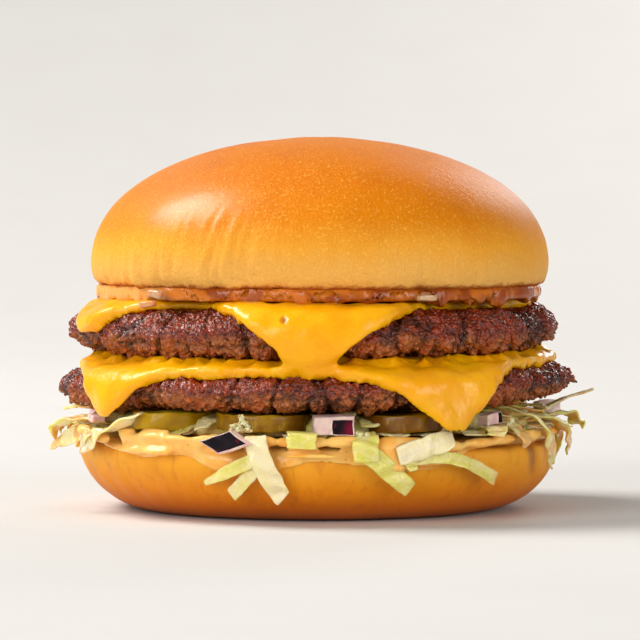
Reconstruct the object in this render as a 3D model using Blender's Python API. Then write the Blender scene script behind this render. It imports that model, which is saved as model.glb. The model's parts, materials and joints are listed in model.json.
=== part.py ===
"""A smash burger: two thin craggy patties with melted cheese, sauce, pickles, red onion and shredded
lettuce in a soft bun. The axis of the bun is Z, the front faces -Y, and the heel rests on z = 0."""

import math
import random

import bmesh
import bpy
from mathutils import Vector, noise

MM = 0.001
MERGE = 0.001 * MM
SEED = 7

# Steps round the axis. Layers that lie on each other share the same steps.
STEPS = 72
BUN_STEPS = 60
CORE_STEPS = 48

# The crown: a domed superellipse over a tucked lip and a flat cut face.
CROWN_RADIUS = 55 * MM
CROWN_FOOT = 52.5 * MM
CROWN_WAIST = 58 * MM
CROWN_TOP = 88.3 * MM
CROWN_POWER = 2.12
CROWN_ROWS = 9
CROWN_LIP = ((0.945, 0.0), (0.972, 0.1), (0.992, 0.4))

# The heel: a shallow bowl, as (share of the radius, height), up to a rounded cut edge.
HEEL_RADIUS = 56.6 * MM
HEEL_TOP = 17 * MM
HEEL_FOOT = 41.5 * MM
HEEL_SIDE = (
    (0.775, 0.6), (0.85, 2.4), (0.93, 6.1), (0.968, 9.8), (1.0, 14.0), (0.992, 15.8), (0.962, 17.0),
)
HEEL_SWELL = ((-90, 1.012), (-45, 1.0), (0, 0.998), (45, 0.996), (90, 0.992), (180, 1.004))

# A patty's section, as (share of the radius, share of the height).
PATTY_FOOT = ((0.86, 0.0), (0.945, 0.1), (0.985, 0.27), (1.0, 0.45))
PATTY_HEAD = ((0.985, 0.68), (0.93, 0.88), (0.82, 1.0))
CRAG_DEPTH = 2.6 * MM
CRAG_SIZE = 5.5 * MM

# The least step between two rows of a layer's section, and how far its rim bulges.
LEAST_STEP = 0.35 * MM
RIM_BULGE = 0.7 * MM

# How far the patties and their cheese lean, as a rise per metre towards +X.
LEAN = 0.0145

# Patties: radius and foot height round the axis, as (angle, millimetres), with 0 at the front.
LOWER_PATTY = {
    "top": 34.7 * MM,
    "middle_foot": 25.6 * MM,
    "radius": (
        (-90, 63.4), (-78, 62.2), (-66, 61.0), (-52, 59.6), (-42, 60.8), (-33, 61.6), (-24, 60.0),
        (-16, 61.8), (-8, 61.0), (0, 61.4), (9, 60.2), (18, 60.4), (30, 59.6), (42, 60.6), (54, 61.0),
        (66, 61.4), (78, 61.0), (90, 61.5), (108, 60.4), (126, 59.6), (145, 61.4), (164, 60.2), (184, 61.6),
        (204, 60.2), (216, 59.4), (232, 61.0), (250, 61.2),
    ),
    "foot": (
        (-90, 24.0), (-70, 23.8), (-62, 24.2), (-55, 25.5), (-46, 26.0), (-20, 25.9),
        (0, 25.3), (20, 25.2), (40, 25.7), (60, 26.6),
        (90, 27.2), (130, 25.8), (180, 25.4), (225, 25.0),
    ),
}
UPPER_PATTY = {
    "top": 48.6 * MM,
    "middle_foot": 36.8 * MM,
    "radius": (
        (-90, 60.2), (-76, 58.6), (-62, 59.0), (-48, 59.6), (-34, 58.8), (-22, 59.4), (-10, 58.2), (0, 58.0),
        (12, 58.6), (24, 59.4), (38, 58.6), (52, 59.2), (66, 58.0), (78, 58.4), (90, 57.7), (110, 58.8),
        (130, 57.4), (152, 58.8), (176, 57.4), (200, 58.8), (222, 57.6), (246, 59.2),
    ),
    "foot": (
        (-90, 36.5), (-45, 36.6), (0, 36.9), (45, 37.5), (90, 37.9), (135, 37.5), (180, 36.9), (225, 36.6),
    ),
}

# Cheese: how thick a slice is and how far clear of its patty, in millimetres, from its middle over the
# shoulder to its rim, and how far each slice runs from the axis over its patty and down, by angle.
SLICE = (1.5, 1.5, 2.2, 2.4, 2.2, 1.7)
SLICE_GAP = (0.3, 0.3, 0.5, 0.9, 0.8, 0.7)
HANG = 16 * MM
UPPER_SLICE = (
    (-100, 48.5), (-86, 51.5), (-76, 57), (-66, 62.2), (-57, 58.6), (-50, 54), (-43, 48.5), (-37, 46.5),
    (-31, 48.5), (-24, 54),
    (-15.6, 59.8), (-10.6, 64), (-5, 67), (-1, 67.6), (5.6, 65), (11, 60.8), (18, 56.3), (26, 50), (34, 47),
    (50, 46.5), (75, 48), (90, 50.5), (108, 47), (130, 46.5), (148, 50), (162, 57), (174, 65), (186, 58.5),
    (202, 51), (222, 46.5), (242, 47),
)
LOWER_SLICE = (
    (-90, 56.5), (-75, 57.5), (-65, 60), (-60, 63.6), (-55, 67.2), (-50, 66.8), (-46, 64.4), (-42, 61.4),
    (-36, 58.6), (-25, 57.4), (-18, 55.6), (-13.5, 59.6), (-9, 57.2), (4, 58), (14, 60.6), (18, 63.4),
    (22, 67), (27, 69.2), (32, 70.2), (36.5, 67), (40, 63.6), (44, 59.4), (51, 56.2), (65, 55.2),
    (90, 55.8), (108, 58), (122, 68.5), (128, 67), (142, 58.5), (165, 56), (190, 57), (205, 61),
    (216, 69.5), (224, 64), (240, 57),
)

# Sauces: the rim of the upper one, and how far the lower one runs over the heel and its edge.
UPPER_SAUCE_FOOT = 50.7 * MM
UPPER_SAUCE_TOP = 52.2 * MM
UPPER_SAUCE_RADIUS = 53.4 * MM
UPPER_SAUCE_FALL = (
    (-90, 50.7), (-76, 50.8), (-60, 50.8), (-48, 50.8), (-44, 50.5), (-40, 49.4), (-37.5, 49.4), (-32, 50.4),
    (-24, 50.8), (0, 50.8), (24, 50.8), (33, 50.2), (42, 49.5), (60, 49.5), (72, 50.4), (90, 50.7),
    (104, 50.4), (114, 49.5), (134, 49.6), (146, 50.5), (176, 50.8), (200, 50.7), (211, 50.2), (224, 49.4),
    (240, 49.6), (254, 50.5),
)
LOWER_SAUCE = (
    (-90, 52.8), (-75, 54), (-62, 56.2), (-46, 57.6), (-35, 57), (-30, 57.2), (-25, 60.6), (-20, 60.4),
    (-10, 59.6), (0, 57.4), (7.5, 58.2), (18, 59.6), (23.5, 60.8), (28, 59.4), (36, 56.6), (45, 53.6),
    (60, 53), (80, 53.2), (110, 56), (140, 58.4), (170, 55.6), (200, 58), (235, 55),
)
SAUCE = (1.4, 1.4, 1.6, 1.7, 1.5)
SAUCE_GAP = (0.3, 0.3, 0.5, 0.75, 0.75)
SAUCE_BEAD = ((-60, 0), (-46, 0.2), (-38, 1.2), (-30, 1.3), (-25, 0.1), (0, 0), (90, 0), (180, 0), (240, 0))

# Pickle chips, as (angle, width, depth, thickness, foot height, tilt), and where their middles lie.
PICKLE_REACH = 58.2 * MM
PICKLE_SEGMENTS = 16
PICKLE_BEVEL = 0.5 * MM
PICKLES = (
    (-44.5, 18.8, 24, 4.2, 20.65, 0),
    (-15.8, 22.2, 24, 3.9, 20.65, 1.5),
    (23, 19.2, 24, 4.0, 20.65, -1),
    (122, 22, 26, 4.2, 20.7, 0),
    (160, 21, 25, 3.9, 20.7, 2),
    (222, 22, 26, 3.6, 20.7, 0),
)

# Onion dice, as (angle, radius, height of the middle, width, depth, height, turn in its own plane,
# lean of its upright edges).
ONIONS = (
    (-19.8, 61.3, 18.85, 7.9, 3.4, 4.2, -18, -40),
    (3.2, 56.2, 22.65, 9.2, 6.4, 4.3, 0, 0),
    (42.5, 57.2, 23.4, 4.8, 3.6, 2.6, -10, 0),
    (-64, 57.8, 22.6, 3.8, 3.4, 1.7, 8, 0),
    (-42, 55.9, 51.7, 4.4, 2.8, 2.2, 6, 0),
    (-43, 57.6, 49.4, 5.2, 2.2, 1.6, -8, 0),
    (25.5, 56.0, 51.1, 4.8, 2.6, 1.6, 0, 0),
    (100, 55.5, 22.8, 6.5, 5.0, 3.8, 10, 0),
    (141, 57.5, 23.0, 5.0, 4.5, 4.0, -15, 0),
    (190, 56.0, 22.8, 7.0, 5.0, 3.8, 12, 0),
    (250, 56.5, 22.2, 5.5, 4.5, 2.8, -8, 0),
)
ONION_BEVEL = 0.45 * MM

# Shredded lettuce: a low core between the lower sauce and the patty, with strips over its rim.
CORE_FOOT = 19.05 * MM
CORE_TOP = 24.3 * MM
CORE_RADIUS = 50.2 * MM
CORE_HEAP = 22 * MM
# The core's rim stays low under the pickles and is heaped between them, as (angle, millimetres).
CORE_SHELF = (
    (-104, 23.0), (-72, 23.0), (-63, 20.3), (-30, 20.3), (0, 20.3), (38, 20.3), (47, 23.8), (96, 23.8),
    (105, 20.3), (140, 20.3), (176, 20.3), (184, 22.8), (196, 22.8), (205, 20.3), (222, 20.3), (240, 20.3),
    (248, 23.0),
)
LEAF = 0.9 * MM
LEAF_STATIONS = 7
LEAF_RIPPLE = 0.5 * MM

# Each strip at the front and sides: its width, then its route as (angle, radius, height).
STRIPS = (
    (5.0, (-68, 47, 19.7), (-70, 56, 20.8), (-74, 61, 20.6), (-78, 63.4, 17.6), (-80.5, 64.4, 14.6)),
    (5.5, (-84, 47, 19.7), (-85, 56, 21.0), (-87, 61, 21.0), (-86, 62.6, 17.8)),
    (4.6, (-47, 47, 19.7), (-47, 57.5, 19.9), (-47.4, 61.2, 20.4), (-53, 61.6, 18.6), (-62, 61.2, 16.0)),
    (4.6, (-60, 47, 19.7), (-60, 57, 19.7), (-60.5, 61.2, 18.4), (-66, 60.8, 15.2)),
    (3.2, (-13, 60.4, 15.2), (-17, 61, 13.2), (-21, 60.4, 12.2), (-25.5, 58.6, 9.4)),
    (3.6, (-12.4, 60.2, 16.4), (-14.2, 60.9, 13.4), (-16.4, 59.6, 9.4), (-18.4, 58, 6.0)),
    (4.0, (-11.6, 47, 19.7), (-12, 57, 19.7), (-12.2, 60.4, 17.6), (-11, 60.4, 12.4), (-9.4, 57.9, 6.0)),
    (6.6, (-3.6, 47, 19.7), (-3.6, 57, 19.7), (-3.6, 61, 19.3), (-3.6, 62, 17.8)),
    (6.4, (9.6, 47, 19.7), (9.6, 57, 19.7), (9.6, 61, 17.8), (9.8, 61, 14.6)),
    (3.2, (8.4, 60.9, 15.8), (11.2, 60.8, 12.8), (15.2, 59.5, 10.2), (19.6, 57.8, 8.0)),
    (4.2, (33.5, 47, 19.7), (33.4, 57, 19.8), (29.4, 61.8, 18.3), (23, 62.2, 17.4), (18.6, 61, 14.0)),
    (3.0, (26.6, 47, 19.7), (26.6, 57, 19.7), (26.2, 60.6, 17.4), (22.8, 61, 14.4)),
    (3.2, (37.2, 47, 19.7), (36, 57, 19.7), (33.4, 60.6, 16.6), (36.4, 60.5, 13.4), (41, 59, 10.4)),
    (5.2, (44.5, 47, 19.7), (43, 57, 20.2), (41.4, 60.8, 21.2), (40.4, 61.4, 20.4)),
    (3.6, (53, 47, 19.7), (53.6, 57, 20.2), (54.4, 60.8, 18.8), (58, 60.8, 15.2), (62, 59.6, 11)),
    (3.2, (66, 47, 19.7), (67, 57, 20.2), (69, 60.6, 18.2), (71, 60.4, 14.6)),
    (5.0, (77, 47, 19.7), (78, 55, 20.6), (79.5, 60.4, 21.8), (81, 61.2, 19.4)),
    (2.4, (88, 47, 19.9), (88.4, 53, 23.4), (89.2, 59, 26.2), (90, 65.4, 28.0)),
)
# The strips that follow round the back, one by one, with an even scatter.
BACK_START = 98
BACK_END = 264
BACK_PACE = 10.5


def place(angle, radius, height):
    """A point from an angle in degrees, turning from the front towards +X."""
    turn = math.radians(angle)
    return Vector((radius * math.sin(turn), -radius * math.cos(turn), height))


def around(values, angle):
    """The smooth value at an angle, from (angle, value) pairs in turn round the circle."""
    start = values[0][0]
    turn = (angle - start) % 360
    places = [(a - start) % 360 for a, _ in values]
    last = max(i for i, p in enumerate(places) if p <= turn)
    count = len(values)
    before, here, there, after = (values[(last + i) % count][1] for i in (-1, 0, 1, 2))
    widths = [((places[(last + i + 1) % count] - places[(last + i) % count]) % 360) for i in (-1, 0, 1)]
    share = (turn - places[last]) / widths[1]
    slope_here = (there - before) / (widths[0] + widths[1]) * widths[1]
    slope_there = (after - here) / (widths[1] + widths[2]) * widths[1]
    square, cube = share**2, share**3
    return (
        (2 * cube - 3 * square + 1) * here
        + (cube - 2 * square + share) * slope_here
        + (3 * square - 2 * cube) * there
        + (cube - square) * slope_there
    )


def finish(name, colour, roughness):
    material = bpy.data.materials.new(name)
    material.use_nodes = True
    shader = material.node_tree.nodes["Principled BSDF"]
    shader.inputs["Base Color"].default_value = (*colour, 1)
    shader.inputs["Roughness"].default_value = roughness
    shader.inputs["Metallic"].default_value = 0
    return material


def as_object(name, shape, material):
    """A bmesh as a smooth-shaded object in the scene."""
    mesh = bpy.data.meshes.new(name)
    shape.to_mesh(mesh)
    shape.free()
    mesh.materials.append(material)
    mesh.shade_smooth()
    mesh.set_sharp_from_angle(angle=math.radians(40))
    thing = bpy.data.objects.new(name, mesh)
    bpy.context.scene.collection.objects.link(thing)
    return thing


def turned(name, section, steps, material):
    """A solid spun round Z. section(angle) lists its (radius, height) points, axis to axis."""
    shape = bmesh.new()
    row = shape.verts.layers.int.new("row")
    chain = []
    for index, (radius, height) in enumerate(section(0)):
        chain.append(shape.verts.new(place(0, radius, height)))
        chain[-1][row] = index
    for first, second in zip(chain, chain[1:]):
        shape.edges.new((first, second))
    bmesh.ops.spin(
        shape, geom=shape.verts[:] + shape.edges[:], cent=(0, 0, 0), axis=(0, 0, 1), angle=math.tau,
        steps=steps,
    )
    bmesh.ops.remove_doubles(shape, verts=shape.verts[:], dist=MERGE)
    sections = {}
    for vertex in shape.verts:
        step = round(math.atan2(vertex.co.x, -vertex.co.y) / math.tau * steps) % steps
        angle = 360 * step / steps
        if step not in sections:
            sections[step] = section(angle)
        radius, height = sections[step][vertex[row]]
        vertex.co = place(angle, radius, height)
    bmesh.ops.recalc_face_normals(shape, faces=shape.faces[:])
    return as_object(name, shape, material)


def crown_section(angle):
    radius = CROWN_RADIUS * (1 + 0.003 * math.sin(math.radians(2 * angle + 50)))
    foot = CROWN_FOOT + 0.15 * MM * (1 + math.sin(math.radians(5 * angle)))
    points = [(0, CROWN_FOOT)]
    for share, rise in CROWN_LIP:
        points.append((radius * share, foot + rise * (CROWN_WAIST - foot)))
    for row in range(CROWN_ROWS):
        turn = math.radians(90 * row / CROWN_ROWS)
        across = math.cos(turn) ** (2 / CROWN_POWER)
        up = math.sin(turn) ** (2 / CROWN_POWER)
        points.append((radius * across, CROWN_WAIST + (CROWN_TOP - CROWN_WAIST) * up))
    return points + [(0, CROWN_TOP)]


def heel_side(angle):
    swell = around(HEEL_SWELL, angle)
    return [(HEEL_RADIUS * share * swell, height * MM) for share, height in HEEL_SIDE]


def heel_section(angle):
    return [(0, 0), (HEEL_FOOT, 0)] + heel_side(angle) + [(0, HEEL_TOP)]


def patty_envelope(patty, angle):
    """The patty's smooth outer form at an angle, from its foot to its top, without the axis points."""
    radius = around(patty["radius"], angle) * MM
    lean = LEAN * math.sin(math.radians(angle))
    foot = around(patty["foot"], angle) * MM
    points = []
    for share, rise in PATTY_FOOT + PATTY_HEAD:
        top = patty["top"] + lean * radius * share * (1 if patty is LOWER_PATTY else 0)
        points.append((radius * share, foot + (top - foot) * rise))
    return points


def crag(angle, radius, height):
    """How deep the crust is broken at a point, between 0 and 1."""
    spot = place(angle, radius, height) / CRAG_SIZE
    broken = noise.noise(spot) + 0.6 * noise.noise(spot * 2.3 + Vector((5, 3, 1)))
    return min(1, max(0, 0.45 + 0.8 * broken))


def patty_section(patty, angle):
    foot = (0, patty["middle_foot"])
    points = [foot]
    for radius, height in patty_envelope(patty, angle):
        points.append((radius - CRAG_DEPTH * crag(angle, radius, height), height))
    points[-1] = patty_envelope(patty, angle)[-1]
    return points + [(0, patty["top"])]


def offset_line(line, lift):
    """A line from the axis outwards, moved to its outer side by a distance."""
    moved = []
    for index, (radius, height) in enumerate(line):
        ways = []
        for first, second in ((index - 1, index), (index, index + 1)):
            if first < 0 or second == len(line):
                continue
            across = line[second][0] - line[first][0]
            up = line[second][1] - line[first][1]
            ways.append(Vector((-up, across)).normalized())
        bisector = (ways[0] + ways[-1]).normalized()
        reach = lift / bisector.dot(ways[0])
        moved.append((radius + bisector.x * reach, height + bisector.y * reach))
    return moved


def between(spans, values, distance):
    """The value, number or point, at a distance along a line whose corners have the given spans."""
    last = max(i for i, span in enumerate(spans[:-1]) if span <= distance)
    share = (distance - spans[last]) / (spans[last + 1] - spans[last])
    return values[last] + (values[last + 1] - values[last]) * share


def layer_section(guide, reach, thickness, clear, bead=0):
    """A layer on a guide line that starts at the axis, out to a reach along it, with a round rim."""
    spans = [0]
    for (r1, z1), (r2, z2) in zip(guide, guide[1:]):
        spans.append(spans[-1] + math.hypot(r2 - r1, z2 - z1))
    rows = len(guide) - 1
    stops = [min(spans[row], reach - (rows - row) * LEAST_STEP) for row in range(rows)] + [reach]

    def lifted(distance, share):
        lift = (between(spans, clear, distance) + share * between(spans, thickness, distance)) * MM
        line = [Vector(point) for point in offset_line(guide, lift + share * bead * (distance > spans[1]))]
        return tuple(between(spans, line, distance))

    under = [lifted(stop, 0) for stop in stops]
    rim = [lifted(reach + RIM_BULGE, 0.5)]
    over = [lifted(stop, 1) for stop in stops[-2::-1]]
    return under + rim + over


def slice_section(patty, reaches, angle):
    """A cheese slice that lies on its patty, bends over the shoulder and hangs down past the widest line."""
    envelope = patty_envelope(patty, angle)
    shoulder = envelope[len(PATTY_FOOT) - 1 :]
    guide = [(0, patty["top"])] + shoulder[::-1]
    widest = guide[-1]
    guide.append((widest[0] + 0.1 * MM, widest[1] - HANG))
    return layer_section(guide, around(reaches, angle) * MM, SLICE, SLICE_GAP)


def lower_sauce_section(angle):
    rim = heel_side(angle)[::-1]
    guide = [(0, HEEL_TOP)] + rim[:4]
    reach = around(LOWER_SAUCE, angle) * MM
    return layer_section(guide, reach, SAUCE, SAUCE_GAP, around(SAUCE_BEAD, angle) * MM)


def upper_sauce_section(angle):
    fall = around(UPPER_SAUCE_FALL, angle) * MM
    radius = UPPER_SAUCE_RADIUS * (1 + 0.006 * math.sin(math.radians(7 * angle + 20)))
    middle = (fall + UPPER_SAUCE_TOP) / 2
    return [
        (0, UPPER_SAUCE_FOOT),
        (radius - 4.9 * MM, UPPER_SAUCE_FOOT),
        (radius - 2.9 * MM, fall + 0.1 * MM),
        (radius - 0.9 * MM, fall + 0.2 * MM),
        (radius, middle),
        (radius - 0.5 * MM, UPPER_SAUCE_TOP - 0.2 * MM),
        (radius - 1.6 * MM, UPPER_SAUCE_TOP),
        (0, UPPER_SAUCE_TOP),
    ]


def core_section(angle):
    radius = CORE_RADIUS * (1 + 0.012 * math.sin(math.radians(6 * angle)))
    shelf = around(CORE_SHELF, angle) * MM
    return [
        (0, CORE_FOOT),
        (radius, CORE_FOOT),
        (radius, shelf),
        (CORE_HEAP, shelf),
        (CORE_HEAP - 4 * MM, CORE_TOP),
        (0, CORE_TOP),
    ]


def smooth_route(points, stations):
    """Evenly spaced stations on a smooth curve through a route's points."""
    ends = [2 * points[0] - points[1]] + points + [2 * points[-1] - points[-2]]
    route = []
    for station in range(stations):
        travel = station / (stations - 1) * (len(points) - 1)
        leg = min(int(travel), len(points) - 2)
        share = travel - leg
        before, here, there, after = ends[leg : leg + 4]
        route.append(
            here
            + 0.5 * share * (there - before)
            + share**2 * (before - 2.5 * here + 2 * there - 0.5 * after)
            + share**3 * (1.5 * (here - there) + 0.5 * (after - before))
        )
    return route


def outward(spot):
    """The way a leaf faces: up where it lies on the heel, out from the axis where it hangs."""
    across = Vector((spot.x, spot.y, 0)).normalized()
    hanging = min(1, max(0, (20.4 * MM - spot.z) / (2.2 * MM)))
    return (across * hanging + Vector((0, 0, 1.05 - hanging))).normalized()


def leaf_strip(name, width, route, ripple_phase, material):
    """A thin strip along a route, split into triangles before it gets its thickness."""
    shape = bmesh.new()
    pairs = []
    stations = smooth_route([place(a, r * MM, z * MM) for a, r, z in route], LEAF_STATIONS)
    for index, spot in enumerate(stations):
        nearby = stations[max(0, index - 1)], stations[min(LEAF_STATIONS - 1, index + 1)]
        ahead = (nearby[1] - nearby[0]).normalized()
        side = ahead.cross(outward(spot)).normalized()
        face = side.cross(ahead)
        travel = index / (LEAF_STATIONS - 1)
        half = width * MM / 2 * (1 - 0.45 * travel**3)
        twist = LEAF_RIPPLE * travel**2 * math.sin(5 * travel + ripple_phase)
        near_edge = shape.verts.new(spot - side * half + face * twist)
        pairs.append((near_edge, shape.verts.new(spot + side * half)))
    for (a, b), (c, d) in zip(pairs, pairs[1:]):
        shape.faces.new((a, b, d))
        shape.faces.new((a, d, c))
    strip = as_object(name, shape, material)
    thick = strip.modifiers.new("thickness", "SOLIDIFY")
    thick.thickness = LEAF
    thick.offset = 0
    return strip


def back_strips():
    """Strips for the side that is turned away, with lengths and widths like the front's."""
    draw = random.Random(SEED)
    strips = []
    angle = BACK_START
    while angle < BACK_END:
        drift = draw.uniform(-6, 6)
        low = draw.uniform(9.5, 17)
        end = 61 if low > 13 else 59.4
        strips.append((
            draw.uniform(3.2, 5.6),
            (angle, 47, 19.7),
            (angle + 0.2 * drift, 57, 19.7),
            (angle + 0.6 * drift, 60.8, 18),
            (angle + drift, end, low),
        ))
        angle += BACK_PACE * draw.uniform(0.75, 1.25)
    return strips


def largest_body(shape):
    """Keeps the biggest connected piece of a bmesh and drops loose scraps."""
    left = set(shape.verts)
    bodies = []
    while left:
        body = {left.pop()}
        edge_of_body = list(body)
        while edge_of_body:
            vertex = edge_of_body.pop()
            for link in vertex.link_edges:
                other = link.other_vert(vertex)
                if other in left:
                    left.remove(other)
                    body.add(other)
                    edge_of_body.append(other)
        bodies.append(body)
    bodies.sort(key=len)
    for body in bodies[:-1]:
        bmesh.ops.delete(shape, geom=list(body), context="VERTS")


def lettuce(material):
    """The core with every strip joined on, as one solid."""
    core = turned("lettuce", core_section, CORE_STEPS, material)
    pieces = bpy.data.collections.new("strips")
    bpy.context.scene.collection.children.link(pieces)
    for index, (width, *route) in enumerate(STRIPS + tuple(back_strips())):
        strip = leaf_strip(f"strip_{index}", width, route, 1.7 * index, material)
        bpy.context.scene.collection.objects.unlink(strip)
        pieces.objects.link(strip)
    union = core.modifiers.new("strips", "BOOLEAN")
    union.operation = "UNION"
    union.operand_type = "COLLECTION"
    union.collection = pieces
    bpy.context.view_layer.update()
    joined = bpy.data.meshes.new_from_object(core.evaluated_get(bpy.context.evaluated_depsgraph_get()))
    core.modifiers.clear()
    for strip in list(pieces.objects):
        bpy.data.objects.remove(strip)
    bpy.data.collections.remove(pieces)
    shape = bmesh.new()
    shape.from_mesh(joined)
    largest_body(shape)
    shape.to_mesh(core.data)
    shape.free()
    return core


def pickle_chip(name, angle, width, depth, thickness, foot, tilt, material):
    """A round slice of pickled cucumber, cut a little oval, with softened edges."""
    shape = bmesh.new()
    bmesh.ops.create_cone(
        shape, cap_ends=True, segments=PICKLE_SEGMENTS, radius1=width * MM / 2, radius2=width * MM / 2,
        depth=thickness * MM,
    )
    bmesh.ops.scale(shape, vec=(1, depth / width, 1), verts=shape.verts)
    bmesh.ops.bevel(
        shape, geom=shape.edges[:], offset=PICKLE_BEVEL, segments=1, affect="EDGES", clamp_overlap=True
    )
    bmesh.ops.remove_doubles(shape, verts=shape.verts[:], dist=0.05 * MM)
    bmesh.ops.recalc_face_normals(shape, faces=shape.faces[:])
    chip = as_object(name, shape, material)
    chip.rotation_euler = (0, math.radians(tilt), math.radians(angle))
    slope = abs(math.sin(math.radians(tilt))) * width * MM / 2
    middle = place(angle, PICKLE_REACH - depth * MM / 2, foot * MM + thickness * MM / 2 + slope)
    chip.location = middle
    return chip


def onion_die(name, angle, radius, height, width, depth, tall, turn, lean, material):
    """A block of diced onion, standing with its widest face outwards."""
    shape = bmesh.new()
    bmesh.ops.create_cube(shape, size=1)
    bmesh.ops.scale(shape, vec=(width * MM, depth * MM, tall * MM), verts=shape.verts)
    for vertex in shape.verts:
        vertex.co.x += vertex.co.z * math.tan(math.radians(lean))
    bmesh.ops.bevel(shape, geom=shape.edges[:], offset=ONION_BEVEL, segments=1, affect="EDGES")
    die = as_object(name, shape, material)
    die.rotation_euler = (0, math.radians(turn), math.radians(angle))
    die.location = place(angle, radius * MM, height * MM)
    return die


def build():
    for thing in list(bpy.data.objects):
        bpy.data.objects.remove(thing)
    crust = finish("bun_crust", (0.66, 0.30, 0.07), 0.4)
    meat = finish("seared_beef", (0.12, 0.035, 0.018), 0.35)
    cheese = finish("melted_cheese", (0.93, 0.50, 0.03), 0.3)
    sauce = finish("burger_sauce", (0.80, 0.36, 0.16), 0.25)
    leaf = finish("lettuce", (0.62, 0.72, 0.30), 0.4)
    pickle = finish("pickle", (0.38, 0.34, 0.06), 0.25)
    onion = finish("red_onion", (0.75, 0.55, 0.58), 0.3)

    turned("bun_top", crown_section, BUN_STEPS, crust)
    turned("sauce_top", upper_sauce_section, BUN_STEPS, sauce)
    turned("cheese_top", lambda angle: slice_section(UPPER_PATTY, UPPER_SLICE, angle), STEPS, cheese)
    turned("patty_top", lambda angle: patty_section(UPPER_PATTY, angle), STEPS, meat)
    turned("cheese_bottom", lambda angle: slice_section(LOWER_PATTY, LOWER_SLICE, angle), STEPS, cheese)
    turned("patty_bottom", lambda angle: patty_section(LOWER_PATTY, angle), STEPS, meat)
    lettuce(leaf)
    turned("sauce_bottom", lower_sauce_section, STEPS, sauce)
    turned("bun_bottom", heel_section, STEPS, crust)
    for index, chip in enumerate(PICKLES, 1):
        pickle_chip(f"pickle_{index}", *chip, pickle)
    for index, die in enumerate(ONIONS, 1):
        onion_die(f"onion_{index}", *die, onion)


build()
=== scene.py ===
"""The looks of a smash burger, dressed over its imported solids.

The front faces -Y, the axis of the burger is Z, and every length is in metres. A piece's place round
the burger is an angle in degrees that turns from the front towards +X.
"""

import json
import math
import random

import bpy
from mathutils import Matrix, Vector, noise
from mathutils.bvhtree import BVHTree

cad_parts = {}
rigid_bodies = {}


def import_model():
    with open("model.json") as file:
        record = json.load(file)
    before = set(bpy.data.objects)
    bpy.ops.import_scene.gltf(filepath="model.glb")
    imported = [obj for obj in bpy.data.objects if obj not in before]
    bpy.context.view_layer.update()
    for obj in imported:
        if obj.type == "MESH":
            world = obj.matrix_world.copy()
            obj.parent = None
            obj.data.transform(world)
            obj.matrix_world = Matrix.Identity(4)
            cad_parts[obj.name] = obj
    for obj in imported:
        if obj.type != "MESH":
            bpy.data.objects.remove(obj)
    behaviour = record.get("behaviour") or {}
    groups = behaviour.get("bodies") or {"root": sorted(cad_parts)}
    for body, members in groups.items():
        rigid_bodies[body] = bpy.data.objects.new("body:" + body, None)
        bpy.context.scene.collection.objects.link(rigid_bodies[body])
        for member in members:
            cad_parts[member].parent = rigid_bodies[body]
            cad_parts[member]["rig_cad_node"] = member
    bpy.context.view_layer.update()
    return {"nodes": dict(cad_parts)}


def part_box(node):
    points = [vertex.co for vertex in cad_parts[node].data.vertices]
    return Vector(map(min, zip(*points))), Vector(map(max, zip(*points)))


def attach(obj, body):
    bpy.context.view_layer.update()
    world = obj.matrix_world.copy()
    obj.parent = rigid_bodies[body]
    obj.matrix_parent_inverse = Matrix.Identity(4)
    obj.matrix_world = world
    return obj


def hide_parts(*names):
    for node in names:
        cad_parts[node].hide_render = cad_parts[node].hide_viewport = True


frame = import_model()

MM = 0.001

# One fixed seed, so that every run gives the same lumps.
noise.seed_set(5)


# Working by hand: what is selected, modifiers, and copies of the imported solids.


def pick(*things):
    """Selects these objects alone, in object mode."""
    if bpy.context.object and bpy.context.object.mode != "OBJECT":
        bpy.ops.object.mode_set(mode="OBJECT")
    bpy.ops.object.select_all(action="DESELECT")
    for thing in things:
        thing.select_set(True)
    if things:
        bpy.context.view_layer.objects.active = things[0]


def choose(thing, test=None, kind="FACE"):
    """Edit mode, with the faces or points chosen whose place passes a test."""
    pick(thing)
    mesh = thing.data
    for parts in (mesh.vertices, mesh.edges, mesh.polygons):
        parts.foreach_set("select", [test is None] * len(parts))
    if test is not None and kind == "FACE":
        for face in mesh.polygons:
            face.select = test(face.center)
    if test is not None and kind == "VERT":
        for point in mesh.vertices:
            point.select = test(point.co)
    bpy.context.tool_settings.mesh_select_mode = (kind == "VERT", False, kind == "FACE")
    bpy.ops.object.mode_set(mode="EDIT")


def done():
    """Back to object mode."""
    bpy.ops.object.mode_set(mode="OBJECT")


def work(thing, kind, **settings):
    """Adds a modifier, sets it and applies it."""
    pick(thing)
    modifier = thing.modifiers.new(kind.lower(), kind)
    for name, value in settings.items():
        setattr(modifier, name, value)
    bpy.ops.object.modifier_apply(modifier=modifier.name)


def settle(thing, name):
    """Puts a new piece's place into its mesh and names it."""
    pick(thing)
    bpy.ops.object.transform_apply(location=True, rotation=True, scale=True)
    thing.name = name
    thing.data.name = name
    return thing


def copy_of(node, name):
    """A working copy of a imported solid, merged and in quads."""
    pick(frame["nodes"][node])
    bpy.ops.object.duplicate()
    copy = bpy.context.object
    copy.name = name
    copy.data.name = name
    del copy["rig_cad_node"]
    copy.data.materials.clear()
    bpy.ops.mesh.customdata_custom_splitnormals_clear()
    choose(copy)
    bpy.ops.mesh.remove_doubles(threshold=0.001 * MM)
    bpy.ops.mesh.tris_convert_to_quads(face_threshold=math.pi, shape_threshold=math.pi)
    bpy.ops.mesh.normals_make_consistent(inside=False)
    bpy.ops.mesh.mark_sharp(clear=True)
    done()
    return copy


def spread(point):
    """A point's distance from the burger's axis."""
    return math.hypot(point.x, point.y)


def place(angle, radius, height):
    """A point from its angle round the burger, its distance from the axis and its height."""
    turn = math.radians(angle)
    return Vector((radius * math.sin(turn), -radius * math.cos(turn), height))


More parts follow.
